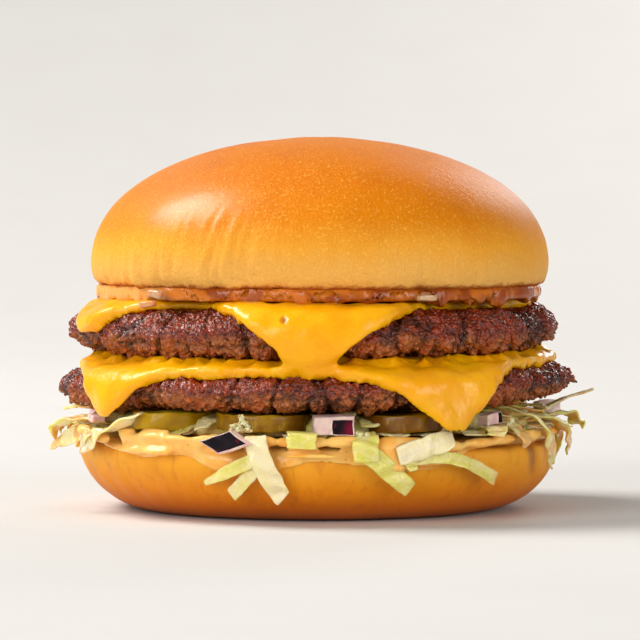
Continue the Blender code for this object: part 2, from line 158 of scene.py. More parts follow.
def angle_of(point):
    return math.degrees(math.atan2(point.x, -point.y))


def ease(value, low, high):
    """0 at low, 1 at high, and a soft step between them."""
    share = min(1, max(0, (value - low) / (high - low)))
    return share * share * (3 - 2 * share)


def press(thing, shift, kept_as=None):
    """Moves each point along its normal by shift(place, normal), and may keep that in an attribute."""
    mesh = thing.data
    moved = []
    shifts = []
    for point in mesh.vertices:
        depth = shift(point.co, point.normal)
        shifts.append(depth)
        moved.extend(point.co + point.normal * depth)
    if kept_as:
        depths = [depth / MM for depth in shifts]
        mesh.attributes.new(kept_as, "FLOAT", "POINT").data.foreach_set("value", depths)
    mesh.vertices.foreach_set("co", moved)
    mesh.update()


def mark(thing, name, value):
    """Keeps value(place, normal) of each point in an attribute for the finish."""
    values = [value(point.co, point.normal) for point in thing.data.vertices]
    thing.data.attributes.new(name, "FLOAT", "POINT").data.foreach_set("value", values)


def thin_out(thing, radius, ratio):
    """Fewer faces where no one can see them, in the middle of a layer."""
    choose(thing, lambda spot: spread(spot) < radius)
    bpy.ops.mesh.decimate(ratio=ratio)
    done()


def smooth(thing):
    pick(thing)
    bpy.ops.object.shade_smooth()


def lay_on(piece, grounds, reach, thin):
    """Lays a soft layer on what is under it: its hidden side touches, its open side keeps a thickness."""
    rim = 44
    graph = bpy.context.evaluated_depsgraph_get()
    trees = [BVHTree.FromObject(ground, graph) for ground in grounds]
    moved = []
    for point in piece.data.vertices:
        spot = point.co.copy()
        if spread(spot) > rim * MM:
            for tree in trees:
                near, facing, _, gap = tree.find_nearest(point.co, reach * MM)
                if near is None:
                    continue
                height = (point.co - near).dot(facing)
                share = 1 - ease(gap, 0.55 * reach * MM, reach * MM)
                if point.normal.dot(facing) < -0.15:
                    spot += (near - facing * 0.2 * MM - point.co) * share
                else:
                    wanted = max(0.55 * height + 0.3 * thin * MM, thin * MM)
                    spot += facing * (wanted - height) * share
        moved.extend(spot)
    piece.data.vertices.foreach_set("co", moved)
    piece.data.update()


# Finishes: shader maths written as sums.


class Wire:
    """A value in a finish. Arithmetic on it adds Math nodes."""

    def __init__(self, finish, socket):
        self.finish = finish
        self.socket = socket

    def step(self, operation, first, second):
        return self.finish.node("ShaderNodeMath", {"operation": operation}, {0: first, 1: second})

    def __add__(self, other):
        return self.step("ADD", self, other)

    def __radd__(self, other):
        return self.step("ADD", other, self)

    def __sub__(self, other):
        return self.step("SUBTRACT", self, other)

    def __rsub__(self, other):
        return self.step("SUBTRACT", other, self)

    def __mul__(self, other):
        return self.step("MULTIPLY", self, other)

    def __rmul__(self, other):
        return self.step("MULTIPLY", other, self)

    def __pow__(self, other):
        return self.step("POWER", self, other)


class Finish:
    """A material, built node by node. Uniform values are set on the shader's own sockets."""

    def __init__(self, name, **uniform):
        self.material = bpy.data.materials.new(name)
        self.material.use_nodes = True
        self.tree = self.material.node_tree
        self.shader = self.tree.nodes["Principled BSDF"]
        for socket, value in uniform.items():
            self.shader.inputs[socket.replace("_", " ")].default_value = value
        self.spot = self.node("ShaderNodeTexCoord", out="Object")

    def node(self, kind, settings=None, values=None, out=0):
        node = self.tree.nodes.new(kind)
        for name, value in (settings or {}).items():
            if name == "stops":
                ramp = node.color_ramp
                while len(ramp.elements) < len(value):
                    ramp.elements.new(0.5)
                for element, (position, colour) in zip(ramp.elements, value):
                    element.position = position
                    element.color = colour
            else:
                setattr(node, name, value)
        for socket, value in (values or {}).items():
            if isinstance(value, Wire):
                self.tree.links.new(value.socket, node.inputs[socket])
            else:
                node.inputs[socket].default_value = value
        return Wire(self, node.outputs[out])

    def axis(self, index):
        """One coordinate of the place, in millimetres."""
        return self.node("ShaderNodeSeparateXYZ", None, {0: self.spot}, out=index) * (1 / MM)

    def kept(self, name):
        """A value that the mesh keeps."""
        return self.node("ShaderNodeAttribute", {"attribute_name": name}, out="Fac")

    def where(self, stretch):
        """The place, stretched along an axis."""
        values = {"Vector": self.spot, "Scale": stretch}
        return self.node("ShaderNodeMapping", {"vector_type": "POINT"}, values)

    def cloud(self, size, detail=3, rough=0.5, twist=0, stretch=None):
        """Soft noise, with features of a size in millimetres."""
        values = {
            "Vector": self.where(stretch) if stretch else self.spot,
            "Scale": 1 / (size * MM),
            "Detail": detail,
            "Roughness": rough,
            "Distortion": twist,
        }
        return self.node("ShaderNodeTexNoise", None, values)

    def cells(self, size, feature="F1"):
        """Distance from the nearest grain, or from the seam between grains of a size in millimetres."""
        values = {"Vector": self.spot, "Scale": 1 / (size * MM)}
        return self.node("ShaderNodeTexVoronoi", {"feature": feature}, values)

    def fade(self, value, low, high):
        """0 to 1 between two values, softly."""
        settings = {"interpolation_type": "SMOOTHSTEP", "clamp": True}
        return self.node("ShaderNodeMapRange", settings, {"Value": value, "From Min": low, "From Max": high})

    def near(self, x, z, reach):
        """1 at a place on the front, fading to 0 at a distance in millimetres."""
        gap = ((self.axis(0) - x) ** 2 + (self.axis(2) - z) ** 2) ** 0.5
        return (1 - self.fade(gap, 0.2 * reach, reach)) * self.fade(-1 * self.axis(1), 0, 10)

    def mix(self, first, second, share):
        return self.node("ShaderNodeMix", {"data_type": "RGBA"}, {0: share, 6: first, 7: second}, out=2)

    def ramp(self, share, *stops):
        return self.node("ShaderNodeValToRGB", {"stops": stops}, {0: share})

    def bump(self, height, distance, strength=1.0, over=None):
        values = {"Height": height, "Distance": distance * MM, "Strength": strength}
        if over is not None:
            values["Normal"] = over
        return self.node("ShaderNodeBump", None, values)

    def use(self, **links):
        for socket, value in links.items():
            self.tree.links.new(value.socket, self.shader.inputs[socket.replace("_", " ")])
        return self.material


def tint(red, green, blue):
    """A colour as the eye names it, 0 to 255, for a shader socket."""
    shares = []
    for value in (red, green, blue):
        share = value / 255
        shares.append(share / 12.92 if share <= 0.04045 else ((share + 0.055) / 1.055) ** 2.4)
    return (*shares, 1)


def crown_crust():
    """Baked top crust: tan where it was pale in the oven, orange brown and glossy on the dome."""
    crust = Finish(
        "crown_crust", Coat_Roughness=0.3, Specular_IOR_Level=0.1, Subsurface_Weight=0.08,
        Subsurface_Scale=0.003, Subsurface_Radius=(1.0, 0.4, 0.1),
    )
    level = crust.axis(2) + 9 * (crust.cloud(30, 4, 0.55) - 0.5) + 2.5 * (crust.cloud(5, 3) - 0.5)
    share = (level - 52.0) * (1 / 36)
    colour = crust.ramp(
        share,
        (0.0, tint(226, 172, 88)),
        (0.15, tint(228, 166, 74)),
        (0.28, tint(232, 158, 44)),
        (0.45, tint(220, 128, 2)),
        (0.70, tint(211, 115, 0)),
        (1.0, tint(210, 114, 0)),
    )
    pores = crust.cloud(0.9, 2, 0.6)
    colour = crust.mix(colour, tint(176, 88, 14), crust.fade(pores, 0.60, 0.8) * 0.3)
    specks = crust.cells(2.4)
    colour = crust.mix(colour, tint(250, 196, 110), (1 - crust.fade(specks, 0.0, 0.16)) * 0.2)
    blush = crust.fade(crust.cloud(14, 3, 0.6), 0.5, 0.75)
    dome = crust.fade(level, 60, 74)
    colour = crust.mix(colour, tint(176, 76, 2), blush * dome * 0.3)
    grain = crust.cloud(0.6, 3, 0.6)
    colour = crust.mix(colour, tint(252, 190, 84), crust.fade(grain, 0.54, 0.66) * 0.4)
    toast = 1 - crust.fade(crust.axis(2) + 2.2 * (crust.cloud(1.7, 3, 0.6) - 0.5), 53.1, 54.1)
    colour = crust.mix(colour, tint(160, 70, 12), toast * 0.85)
    skin = crust.bump(grain, 0.24, 1.0)
    skin = crust.bump(crust.cloud(2.4, 4, 0.65, 0.5), 0.4, 0.6, skin)
    return crust.use(
        Base_Color=colour,
        Roughness=0.54 - 0.2 * dome + 0.12 * crust.cloud(1.4, 3),
        Coat_Weight=0.01 + dome * (0.05 * crust.cloud(5, 4, 0.6) + 0.44 * crust.near(-28, 70, 19)),
        Normal=skin,
    )


def heel_crust():
    """The lower bun: golden sides, darker below, with a toasted cut edge."""
    crust = Finish(
        "heel_crust", Coat_Roughness=0.4, Specular_IOR_Level=0.18, Subsurface_Weight=0.08,
        Subsurface_Scale=0.003, Subsurface_Radius=(1.0, 0.4, 0.1),
    )
    level = crust.axis(2) + 3.5 * (crust.cloud(22, 4, 0.55) - 0.5)
    colour = crust.ramp(
        level * (1 / 18),
        (0.0, tint(166, 78, 0)),
        (0.16, tint(202, 104, 0)),
        (0.42, tint(226, 136, 4)),
        (0.75, tint(238, 166, 38)),
        (0.90, tint(238, 168, 52)),
        (0.94, tint(168, 86, 26)),
        (1.0, tint(206, 158, 96)),
    )
    streaks = crust.cloud(2.2, 3, 0.6, 0.3, (1, 1, 0.22))
    colour = crust.mix(colour, tint(182, 88, 8), crust.fade(streaks, 0.5, 0.75) * 0.35)
    blush = crust.fade(crust.cloud(12, 3, 0.6), 0.45, 0.7)
    colour = crust.mix(colour, tint(198, 100, 6), blush * 0.3)
    skin = crust.bump(crust.cloud(0.7, 3, 0.6), 0.1, 0.7)
    skin = crust.bump(streaks, 0.3, 0.5, skin)
    return crust.use(
        Base_Color=colour,
        Roughness=0.5 + 0.12 * crust.cloud(1.6, 3),
        Coat_Weight=0.05 + 0.12 * crust.cloud(14, 2),
        Normal=skin,
    )


def seared_beef():
    """Seared mince: a dark wet crust on the slopes that met the griddle, browner meat beneath, and painted
    shade in its clefts.
    """
    beef = Finish(
        "seared_beef", Coat_Roughness=0.13, Specular_IOR_Level=0.56, Subsurface_Weight=0.05,
        Subsurface_Scale=0.0015, Subsurface_Radius=(1.0, 0.3, 0.15),
    )
    crust = beef.kept("crust")
    relief = beef.kept("relief")
    grain = beef.cloud(0.8, 4, 0.65)
    patch = beef.cloud(6, 3, 0.6)
    seared = beef.mix(tint(74, 14, 0), tint(164, 56, 8), beef.fade(grain, 0.35, 0.7))
    seared = beef.mix(seared, tint(170, 56, 4), beef.fade(patch, 0.52, 0.7) * 0.5)
    meat = beef.mix(tint(126, 52, 10), tint(188, 110, 42), beef.fade(grain, 0.35, 0.7))
    meat = beef.mix(meat, tint(186, 76, 16), beef.fade(beef.cloud(3.2, 2), 0.5, 0.66) * 0.45)
    colour = beef.mix(meat, seared, crust)
    # Painted shade: where the relief is lowest, in the clefts and pits, the mince is darkened towards nearly
    # black.
    deep = 1 - beef.fade(relief, -0.9, 0.2)
    colour = beef.mix(colour, tint(36, 6, 0), deep * 0.7)
    grains = beef.cells(0.85)
    fine = beef.bump(beef.cloud(0.5, 2, 0.6), 0.3, 1.0)
    fine = beef.bump(grains, 0.55, 1.0, fine)
    return beef.use(
        Base_Color=colour,
        Roughness=0.34 - 0.17 * crust + 0.16 * grain,
        Coat_Weight=0.02 + 0.1 * crust * beef.fade(patch, 0.3, 0.62),
        Normal=fine,
    )


def melted_cheese():
    """Processed cheese, melted: smooth, deep yellow, wet where the fat came out."""
    cheese = Finish(
        "melted_cheese", Coat_Roughness=0.12, Subsurface_Weight=0.3, Subsurface_Scale=0.003,
        Subsurface_Radius=(1.0, 0.55, 0.08), Specular_IOR_Level=0.3,
    )
    soft = cheese.cloud(11, 3, 0.5)
    colour = cheese.mix(tint(244, 174, 0), tint(240, 160, 0), cheese.fade(soft, 0.35, 0.7))
    colour = cheese.mix(colour, tint(214, 120, 10), cheese.fade(cheese.cloud(2.6, 3, 0.6), 0.66, 0.8) * 0.35)
    # A small dent at the front of the cheese: a real hollow in the bump, with painted shade in it, a dark
    # orange brown.
    pit = cheese.near(-8.1, 46.3, 1.3)
    colour = cheese.mix(colour, tint(150, 78, 6), pit * 0.8)
    skin = cheese.bump(cheese.cloud(4.5, 3, 0.45) - 0.3 * pit, 0.9, 0.7)
    skin = cheese.bump(cheese.cloud(1.1, 2, 0.5), 0.05, 0.4, skin)
    return cheese.use(
        Base_Color=colour,
        Roughness=0.2 + 0.22 * cheese.cloud(3.4, 3, 0.6),
        Coat_Weight=cheese.fade(cheese.cloud(8, 3), 0.42, 0.62) * 0.2,
        Normal=skin,
    )


def burger_sauce(name, pale, deep, sides):
    """Creamy sauce with tiny chopped bits in it, and painted light at the left side, where it takes a
    lighter colour.
    """
    sauce = Finish(
        name, Coat_Roughness=0.08, Subsurface_Weight=0.3, Subsurface_Scale=0.002,
        Subsurface_Radius=(1.0, 0.5, 0.2), Specular_IOR_Level=0.2,
    )
    colour = sauce.mix(pale, deep, sauce.fade(sauce.cloud(7, 4, 0.6, 0.6), 0.38, 0.62))
    # Painted light: towards the left the sauce takes the lighter side colour, as where the lamps on the left
    # fall on it.
    left = sauce.fade(-1 * sauce.axis(0) + 6 * (sauce.cloud(8, 2) - 0.5), 28, 44)
    colour = sauce.mix(colour, sides, left * 0.85)
    bits = 1 - sauce.fade(sauce.cells(2.1), 0.10, 0.2)
    colour = sauce.mix(colour, tint(150, 62, 24), bits * sauce.fade(sauce.cloud(5, 2), 0.48, 0.6) * 0.3)
    skin = sauce.bump(sauce.cloud(2.6, 3, 0.55), 0.35, 0.6)
    skin = sauce.bump(bits, 0.1, 0.4, skin)
    return sauce.use(
        Base_Color=colour,
        Roughness=0.22 + 0.2 * sauce.cloud(3, 3),
        Coat_Weight=0.14 + 0.4 * sauce.cloud(6, 2),
        Normal=skin,
    )


def leaf_green():
    """Shredded lettuce: from white ribs to yellow green blades, thin enough for light to pass."""
    leaf = Finish(
        "leaf_green", Subsurface_Weight=0.45, Subsurface_Scale=0.002,
        Subsurface_Radius=(0.8, 1.0, 0.35), Coat_Roughness=0.12,
    )
    green = leaf.kept("green")
    across = leaf.kept("across")
    blotch = leaf.cloud(3.2, 3, 0.6)
    share = green + 0.55 * (blotch - 0.5)
    colour = leaf.ramp(
        share,
        (0.0, tint(244, 230, 182)),
        (0.3, tint(234, 224, 150)),
        (0.6, tint(220, 212, 98)),
        (0.85, tint(198, 200, 58)),
        (1.0, tint(170, 182, 36)),
    )
    vein = leaf.fade(leaf.cells(2.6, "DISTANCE_TO_EDGE"), 0.0, 0.14)
    colour = leaf.mix(tint(236, 228, 170), colour, 0.82 + 0.18 * vein)
    rib = 1 - leaf.fade(across, 0.02, 0.2)
    colour = leaf.mix(colour, tint(240, 232, 196), rib * 0.3)
    right = leaf.fade(leaf.axis(0) + 6 * (leaf.cloud(9, 2) - 0.5), 36, 46)
    left = leaf.fade(-1 * leaf.axis(0), 42, 56)
    film = leaf.fade(leaf.cloud(5, 3, 0.5, 0.4), 0.45, 0.55) * (right + left)
    colour = leaf.mix(colour, tint(232, 158, 78), film * 0.75)
    skin = leaf.bump(leaf.cloud(1.3, 3, 0.6), 0.14, 0.7)
    skin = leaf.bump(1 - vein, 0.1, 0.5, skin)
    skin = leaf.bump(leaf.cells(0.8), 0.16, 0.6, skin)
    return leaf.use(
        Base_Color=colour,
        Roughness=0.22 + 0.2 * blotch,
        Coat_Weight=0.08 + 0.16 * leaf.cloud(4, 2) + 0.5 * film,
        Normal=skin,
    )


def pickle_green():
    """A pickled cucumber slice: darker skin round the rim, wet yellow green flesh."""
    pickle = Finish(
        "pickle_green", Subsurface_Weight=0.35, Subsurface_Scale=0.002,
        Subsurface_Radius=(1.0, 0.9, 0.2), Coat_Roughness=0.12, Specular_IOR_Level=0.18,
    )
    bright = pickle.kept("bright")
    rim = pickle.kept("rim")
    mottle = pickle.cloud(2.4, 3, 0.6)
    pale_rind = pickle.fade(bright + (mottle - 0.5) * 0.7, 0.1, 0.95)
    rind = pickle.mix(tint(112, 66, 0), tint(186, 148, 0), pale_rind)
    pale_flesh = pickle.fade(bright + (mottle - 0.5) * 0.5, 0.2, 0.9)
    flesh = pickle.mix(tint(150, 108, 2), tint(214, 188, 44), pale_flesh)
    colour = pickle.mix(flesh, rind, rim)
    streak = pickle.cloud(1.2, 2, 0.6, 0, (1, 1, 0.3))
    colour = pickle.mix(colour, tint(206, 190, 80), pickle.fade(streak, 0.6, 0.75) * 0.3)
    skin = pickle.bump(pickle.cloud(1.6, 3, 0.6), 0.16, 0.6)
    return pickle.use(
        Base_Color=colour,
        Roughness=0.3 + 0.2 * mottle,
        Coat_Weight=0.05 + 0.25 * pickle.cloud(5, 2),
        Normal=skin,
    )


def onion_flesh():
    """White onion flesh with a pink blush."""
    flesh = Finish(
        "onion_flesh", Subsurface_Weight=0.45, Subsurface_Scale=0.002,
        Subsurface_Radius=(1.0, 0.7, 0.75), Coat_Roughness=0.1,
    )
    blush = flesh.fade(flesh.cloud(2.6, 2), 0.35, 0.7)
    colour = flesh.mix(tint(226, 202, 186), tint(212, 152, 162), blush * 0.7)
    lines = flesh.cloud(0.8, 2, 0.5, 0, (1, 1, 0.25))
    return flesh.use(
        Base_Color=colour,
        Roughness=0.25 + 0.15 * flesh.cloud(2, 2),
        Coat_Weight=0.3 + 0.2 * blush,
        Normal=flesh.bump(lines, 0.12, 0.6),
    )


def onion_skin():
    """The outermost layer of a red onion: nearly black purple, glossy."""
    skin = Finish("onion_skin", Coat_Roughness=0.1, Coat_Weight=0.02, Specular_IOR_Level=0.08)
    share = skin.fade(skin.cloud(1.8, 3, 0.6), 0.56, 0.74) + skin.near(7.4, 21.8, 3)
    colour = skin.mix(tint(22, 16, 22), tint(110, 14, 44), share)
    lines = skin.cloud(0.6, 2, 0.5, 0, (1, 1, 0.2))
    return skin.use(Base_Color=colour, Roughness=0.34 + 0.2 * share, Normal=skin.bump(lines, 0.06, 0.5))


def pale_bits():
    """Wet crumbs of pickle and onion, half clear."""
    bits = Finish("pale_bits", Subsurface_Weight=0.4, Subsurface_Scale=0.001, Coat_Roughness=0.1)
    colour = bits.mix(tint(232, 222, 176), tint(196, 168, 96), bits.fade(bits.cloud(0.9, 2), 0.4, 0.62))
    grain = bits.cells(0.45)
    return bits.use(
        Base_Color=colour,
        Roughness=0.3 + 0.2 * grain,
        Coat_Weight=0.3 + 0.2 * grain,
        Normal=bits.bump(grain, 0.2, 0.9),
    )


def sauced_onion():
    """A bit of onion under a film of sauce: grey and see-through in places, brown in others."""
    bit = Finish(
        "sauced_onion", Subsurface_Weight=0.3, Subsurface_Scale=0.002, Subsurface_Radius=(1.0, 0.6, 0.3),
        Coat_Roughness=0.08,
    )
    film = bit.fade(bit.cloud(2.2, 3, 0.6), 0.4, 0.62)
    colour = bit.mix(tint(190, 160, 124), tint(206, 122, 50), film)
    return bit.use(
        Base_Color=colour,
        Roughness=0.22 + 0.15 * film,
        Coat_Weight=0.5 + 0.2 * film,
        Normal=bit.bump(bit.cloud(0.9, 3, 0.6), 0.2, 0.8),
    )


def studio_floor():
    """Matt pale paper."""
    floor = Finish("studio_floor")
    colour = floor.mix(tint(206, 204, 200), tint(210, 208, 205), floor.cloud(60, 2))
    return floor.use(Base_Color=colour, Roughness=0.75 + 0.1 * floor.cloud(20, 2))


# Bun.


def spun(name, outline, steps):
    """A round piece: its outline drawn point by point from one point, then spun round the axis."""
    pick()
    bpy.ops.mesh.primitive_plane_add(size=MM, location=(0, 0, 0))
    piece = bpy.context.object
    choose(piece, kind="VERT")
    bpy.ops.mesh.merge(type="CENTER")
    radius, height = outline[0]
    bpy.ops.transform.translate(value=(0, -radius * MM, height * MM))
    for (r1, z1), (r2, z2) in zip(outline, outline[1:]):
        leg = (0, (r1 - r2) * MM, (z2 - z1) * MM)
        bpy.ops.mesh.extrude_region_move(TRANSFORM_OT_translate={"value": leg})
    bpy.ops.mesh.select_all(action="SELECT")
    bpy.ops.mesh.spin(steps=steps, angle=math.tau, center=(0, 0, 0), axis=(0, 0, 1))
    bpy.ops.mesh.select_all(action="SELECT")
    bpy.ops.mesh.remove_doubles(threshold=0.01 * MM)
    done()
    return settle(piece, name)


def close_ring(piece, radius, height, span):
    """Fills the open ring at a height with a grid."""
    choose(
        piece,
        lambda spot: abs(spread(spot) - radius * MM) < 0.1 * MM and abs(spot.z - height * MM) < 0.1 * MM,
        "VERT",
    )
    bpy.context.tool_settings.mesh_select_mode = (False, True, False)
    bpy.ops.mesh.fill_grid(span=span)
    bpy.ops.mesh.select_all(action="SELECT")
    bpy.ops.mesh.normals_make_consistent(inside=False)
    done()


def crown():
    """The top of the bun: a flat cut face, a tucked lip and a soft dome, a little fuller than an ellipse."""
    cut_radius, cut_height = 46, 52.5
    widest, shoulder, dome = 54.8, 58, 30.15
    tip, top = 4.0, shoulder + dome
    fullness = 2.12
    outline = [(cut_radius, cut_height), (51.3, 52.55), (53.0, 53.0), (54.2, 54.6)]
    for row in range(9):
        turn = math.radians(84 * row / 8)
        across = math.cos(turn) ** (2 / fullness)
        up = math.sin(turn) ** (2 / fullness)
        outline.append((widest * across, shoulder + dome * up))
    outline.append((tip, top))
    piece = spun("crown", outline, 56)
    close_ring(piece, tip, top, 14)
    close_ring(piece, cut_radius, cut_height, 14)
    work(piece, "SUBSURF", levels=3, render_levels=3)

    def crease(spot, normal):
        """Slow swells over the dome, fine standing wrinkles over the lip, stronger at the left front."""
        angle = angle_of(spot)
        swell = 0.35 * noise.noise(spot / (26 * MM)) + 0.12 * noise.noise(spot / (9 * MM))
        low = 1 - ease(spot.z, 57 * MM, 71 * MM)
        left = 0.45 + 0.9 * ease(angle, -75, -50) * (1 - ease(angle, -24, -4))
        stand = Vector((angle * 0.42, spot.z / (16 * MM), 0))
        wrinkle = noise.noise(stand) + 0.5 * noise.noise(stand * 2.3)
        fan = math.exp(-(((angle + 25) / 11) ** 2)) * ease(spot.z, 53.5 * MM, 56 * MM)
        fan *= 1 - ease(spot.z, 65 * MM, 73 * MM)
        leaning = Vector((0.6 * (angle - 0.22 * (spot.z / MM - 56)), spot.z / (22 * MM), 4))
        wrinkle_fan = fan * (noise.noise(leaning) + 0.4 * noise.noise(leaning * 2.1))
        pore = 0.035 * noise.noise(spot / (1.3 * MM))
        side = ease(spread(spot), 48 * MM, 52 * MM)
        lip = side * (1 - ease(spot.z, 53.6 * MM, 56 * MM)) * noise.noise(spot / (3.2 * MM)) * 0.45
        standing = low * left * side * (0.42 * wrinkle - 0.16)
        return (swell - 0.15 + standing + 0.8 * wrinkle_fan + pore + lip) * MM

    press(piece, crease)
    smooth(piece)
    return piece


def heel():
    """The bottom of the bun: a shallow bowl with a flat foot, creased at the left, dented at the right."""
    foot, cut_radius, cut_height = 38, 46, 17.0
    outline = (
        (foot, 0), (41.5, 0.1), (45.0, 0.8), (48.9, 2.4), (53.0, 5.6), (55.5, 9.3),
        (57.0, 13.0), (57.2, 15.2), (56.3, 16.6), (53.6, cut_height), (cut_radius, cut_height),
    )
    piece = spun("heel", outline, 48)
    close_ring(piece, cut_radius, cut_height, 12)
    close_ring(piece, foot, 0, 12)
    work(piece, "SUBSURF", levels=3, render_levels=3)
    choose(piece)
    bpy.ops.transform.translate(value=(-0.4 * MM, 0, 0))
    done()

    def crease(spot, normal):
        """Standing wrinkles, and at the right a slant fold over a dent."""
        angle = angle_of(spot)
        side = ease(spread(spot), 43 * MM, 50 * MM) * ease(spot.z, 0.6 * MM, 4 * MM)
        swell = 0.25 * noise.noise(spot / (20 * MM)) - 0.1
        left = ease(angle, -95, -70) * (1 - ease(angle, -35, -15))
        stand = Vector((angle * 0.36, spot.z / (14 * MM), 3))
        wrinkle = noise.noise(stand) + 0.5 * noise.noise(stand * 2.1)
        slant = (spot.z / MM - 11) * 0.35
        fold = math.exp(-(((angle - 64 + slant) / 3.0) ** 2)) * ease(spot.z, 6 * MM, 14 * MM)
        dent = math.exp(-(((angle - 70) / 7) ** 2)) * ease(spot.z, 8 * MM, 15 * MM)
        pore = 0.03 * noise.noise(spot / (1.2 * MM))
        return side * (swell + (0.07 + 0.17 * left) * wrinkle - 0.75 * fold - 0.8 * dent + pore) * MM

    press(piece, crease)
    smooth(piece)
    return piece


# Patties.


def crumb(spot, size):
    """1 on the rounded middle of a crumb of mince of that size, 0 in the crease round it."""
    near, next_near = noise.voronoi(spot / (size * MM))[0][:2]
    return ease(next_near - near, -0.12, 0.6)


def patty(node, name, shift):
    """Mince with a crust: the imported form, made finer, then lumps, crumbs and bubbles."""
    piece = copy_of(node, name)
    work(piece, "SUBSURF", levels=1, render_levels=1)
    work(piece, "REMESH", mode="VOXEL", voxel_size=0.44 * MM, use_smooth_shade=True)
    thin_out(piece, 48.2 * MM, 0.06)
    work(piece, "SMOOTH", factor=0.5, iterations=4)
    low, high = (corner.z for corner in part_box(node))
    offset = Vector((shift, 2 * shift, 0)) * MM

    def crust_share(spot, normal):
        """1 where the griddle seared it: the upper slopes, in patches."""
        patchy = 0.45 * noise.noise((spot + offset) / (8 * MM))
        patchy += 0.3 * noise.noise((spot + offset) / (3 * MM))
        level = (spot.z - low) / (high - low)
        return ease(normal.z * 0.7 + level * 0.9 + patchy, 0.05, 0.7)

    def lumps(spot, normal):
        """Upright clefts between big lumps, crumbs of three sizes on them, and pits below the crust."""
        if spread(spot) < 47 * MM:
            return 0
        rim = ease(spread(spot), 47 * MM, 51 * MM)
        wander = spot + offset + 1.1 * MM * noise.noise_vector(spot / (4 * MM))
        seared = crust_share(spot, normal)
        turn = angle_of(spot)
        split = abs(noise.noise(Vector((turn / 9.5, spot.z / (16 * MM), shift))))
        cleft = (1 - ease(split, 0, 0.14)) * (1.3 - 0.5 * seared)
        relief = 1.3 * noise.noise((spot + offset) / (11 * MM)) - cleft
        relief += (1.1 - 0.5 * seared) * (crumb(wander, 4.2) - 0.7)
        relief += (0.9 - 0.45 * seared) * (crumb(wander * 1.07, 2.4) - 0.7)
        relief += 0.5 * (crumb(wander, 1.15) - 0.6)
        relief += 0.2 * noise.noise(spot / (0.75 * MM))
        relief -= 0.6 * ease(noise.noise((spot + offset) / (3.2 * MM)), 0.15, 0.5) * (1 - seared)
        end = 1 - 0.6 * ease(abs(spot.x), 59.5 * MM, 62.5 * MM)
        return rim * end * (min(relief, 0.75) + 0.6) * MM

    mark(piece, "crust", crust_share)
    press(piece, lumps, "relief")
    smooth(piece)
    return piece


# Cheese.


def pull(piece, grip, shift, size):
    """Pulls the melted sheet softly at a place, as its own weight does."""
    choose(piece, lambda spot: (spot - grip).length < 0.3 * size * MM, "VERT")
    bpy.ops.transform.translate(
        value=[step * MM for step in shift], use_proportional_edit=True, proportional_edit_falloff="SMOOTH",
        proportional_size=size * MM,
    )
    done()


def soften(piece, name, share, factor, iterations):
    """Smooths a piece as far as share(place) says."""
    group = piece.vertex_groups.new(name=name)
    for point in piece.data.vertices:
        group.add([point.index], share(point.co), "REPLACE")
    work(piece, "SMOOTH", factor=factor, iterations=iterations, vertex_group=name)


def cheese(patties):
    """Both slices as one melted piece: the long front corner of the upper one runs into the lower one."""
    lower = copy_of("cheese_bottom", "cheese")
    upper = copy_of("cheese_top", "cheese_upper")
    pick()
    bpy.ops.mesh.primitive_uv_sphere_add(
        segments=32, ring_count=16, radius=MM, location=place(-2.4, 57.9 * MM, 39.2 * MM),
    )
    neck = bpy.context.object
    neck.scale = (7.8, 1.5, 4.6)
    settle(neck, "neck")
    pick(lower, upper, neck)
    bpy.ops.object.join()
    work(lower, "SUBSURF", levels=1, render_levels=1)
    work(lower, "REMESH", mode="VOXEL", voxel_size=0.6 * MM, use_smooth_shade=True)
    work(lower, "SMOOTH", factor=0.6, iterations=5)
    thin_out(lower, 46 * MM, 0.07)

    def neck_share(spot):
        """1 where the long corner meets the lower slice."""
        front = ease(22 - abs(angle_of(spot) + 2), 0, 10) * ease(spread(spot), 50 * MM, 54 * MM)
        return front * ease(44 * MM - spot.z, 0, 4 * MM)

    soften(lower, "neck", neck_share, 0.6, 16)

    def sag(spot, normal):
        """Swells and hollows where it settled on the lumps below."""
        if spread(spot) < 46 * MM:
            return 0
        wave = 0.5 * noise.noise(spot / (9 * MM)) + 0.42 * noise.noise(spot / (4.2 * MM))
        return ease(spread(spot), 46 * MM, 50 * MM) * wave * MM

    press(lower, sag)
    lay_on(lower, patties, 2.6, 0.75)
    work(lower, "SMOOTH", factor=0.5, iterations=3)

    def end_share(spot):
        """1 at the sides, where the slices end in thin lips."""
        return ease(abs(angle_of(spot)), 60, 72) * ease(spread(spot), 52 * MM, 56 * MM)

    soften(lower, "ends", end_share, 0.5, 6)
    for left, right, shift in ((28, 50, (1.3, -0.3, -1.9)), (-75, -50, (-1.1, -0.2, -1.3))):
        corner = [point.co for point in lower.data.vertices if left < angle_of(point.co) < right]
        pull(lower, min(corner, key=lambda spot: spot.z).copy(), shift, 6)
    smooth(lower)
    return lower


# Sauces.


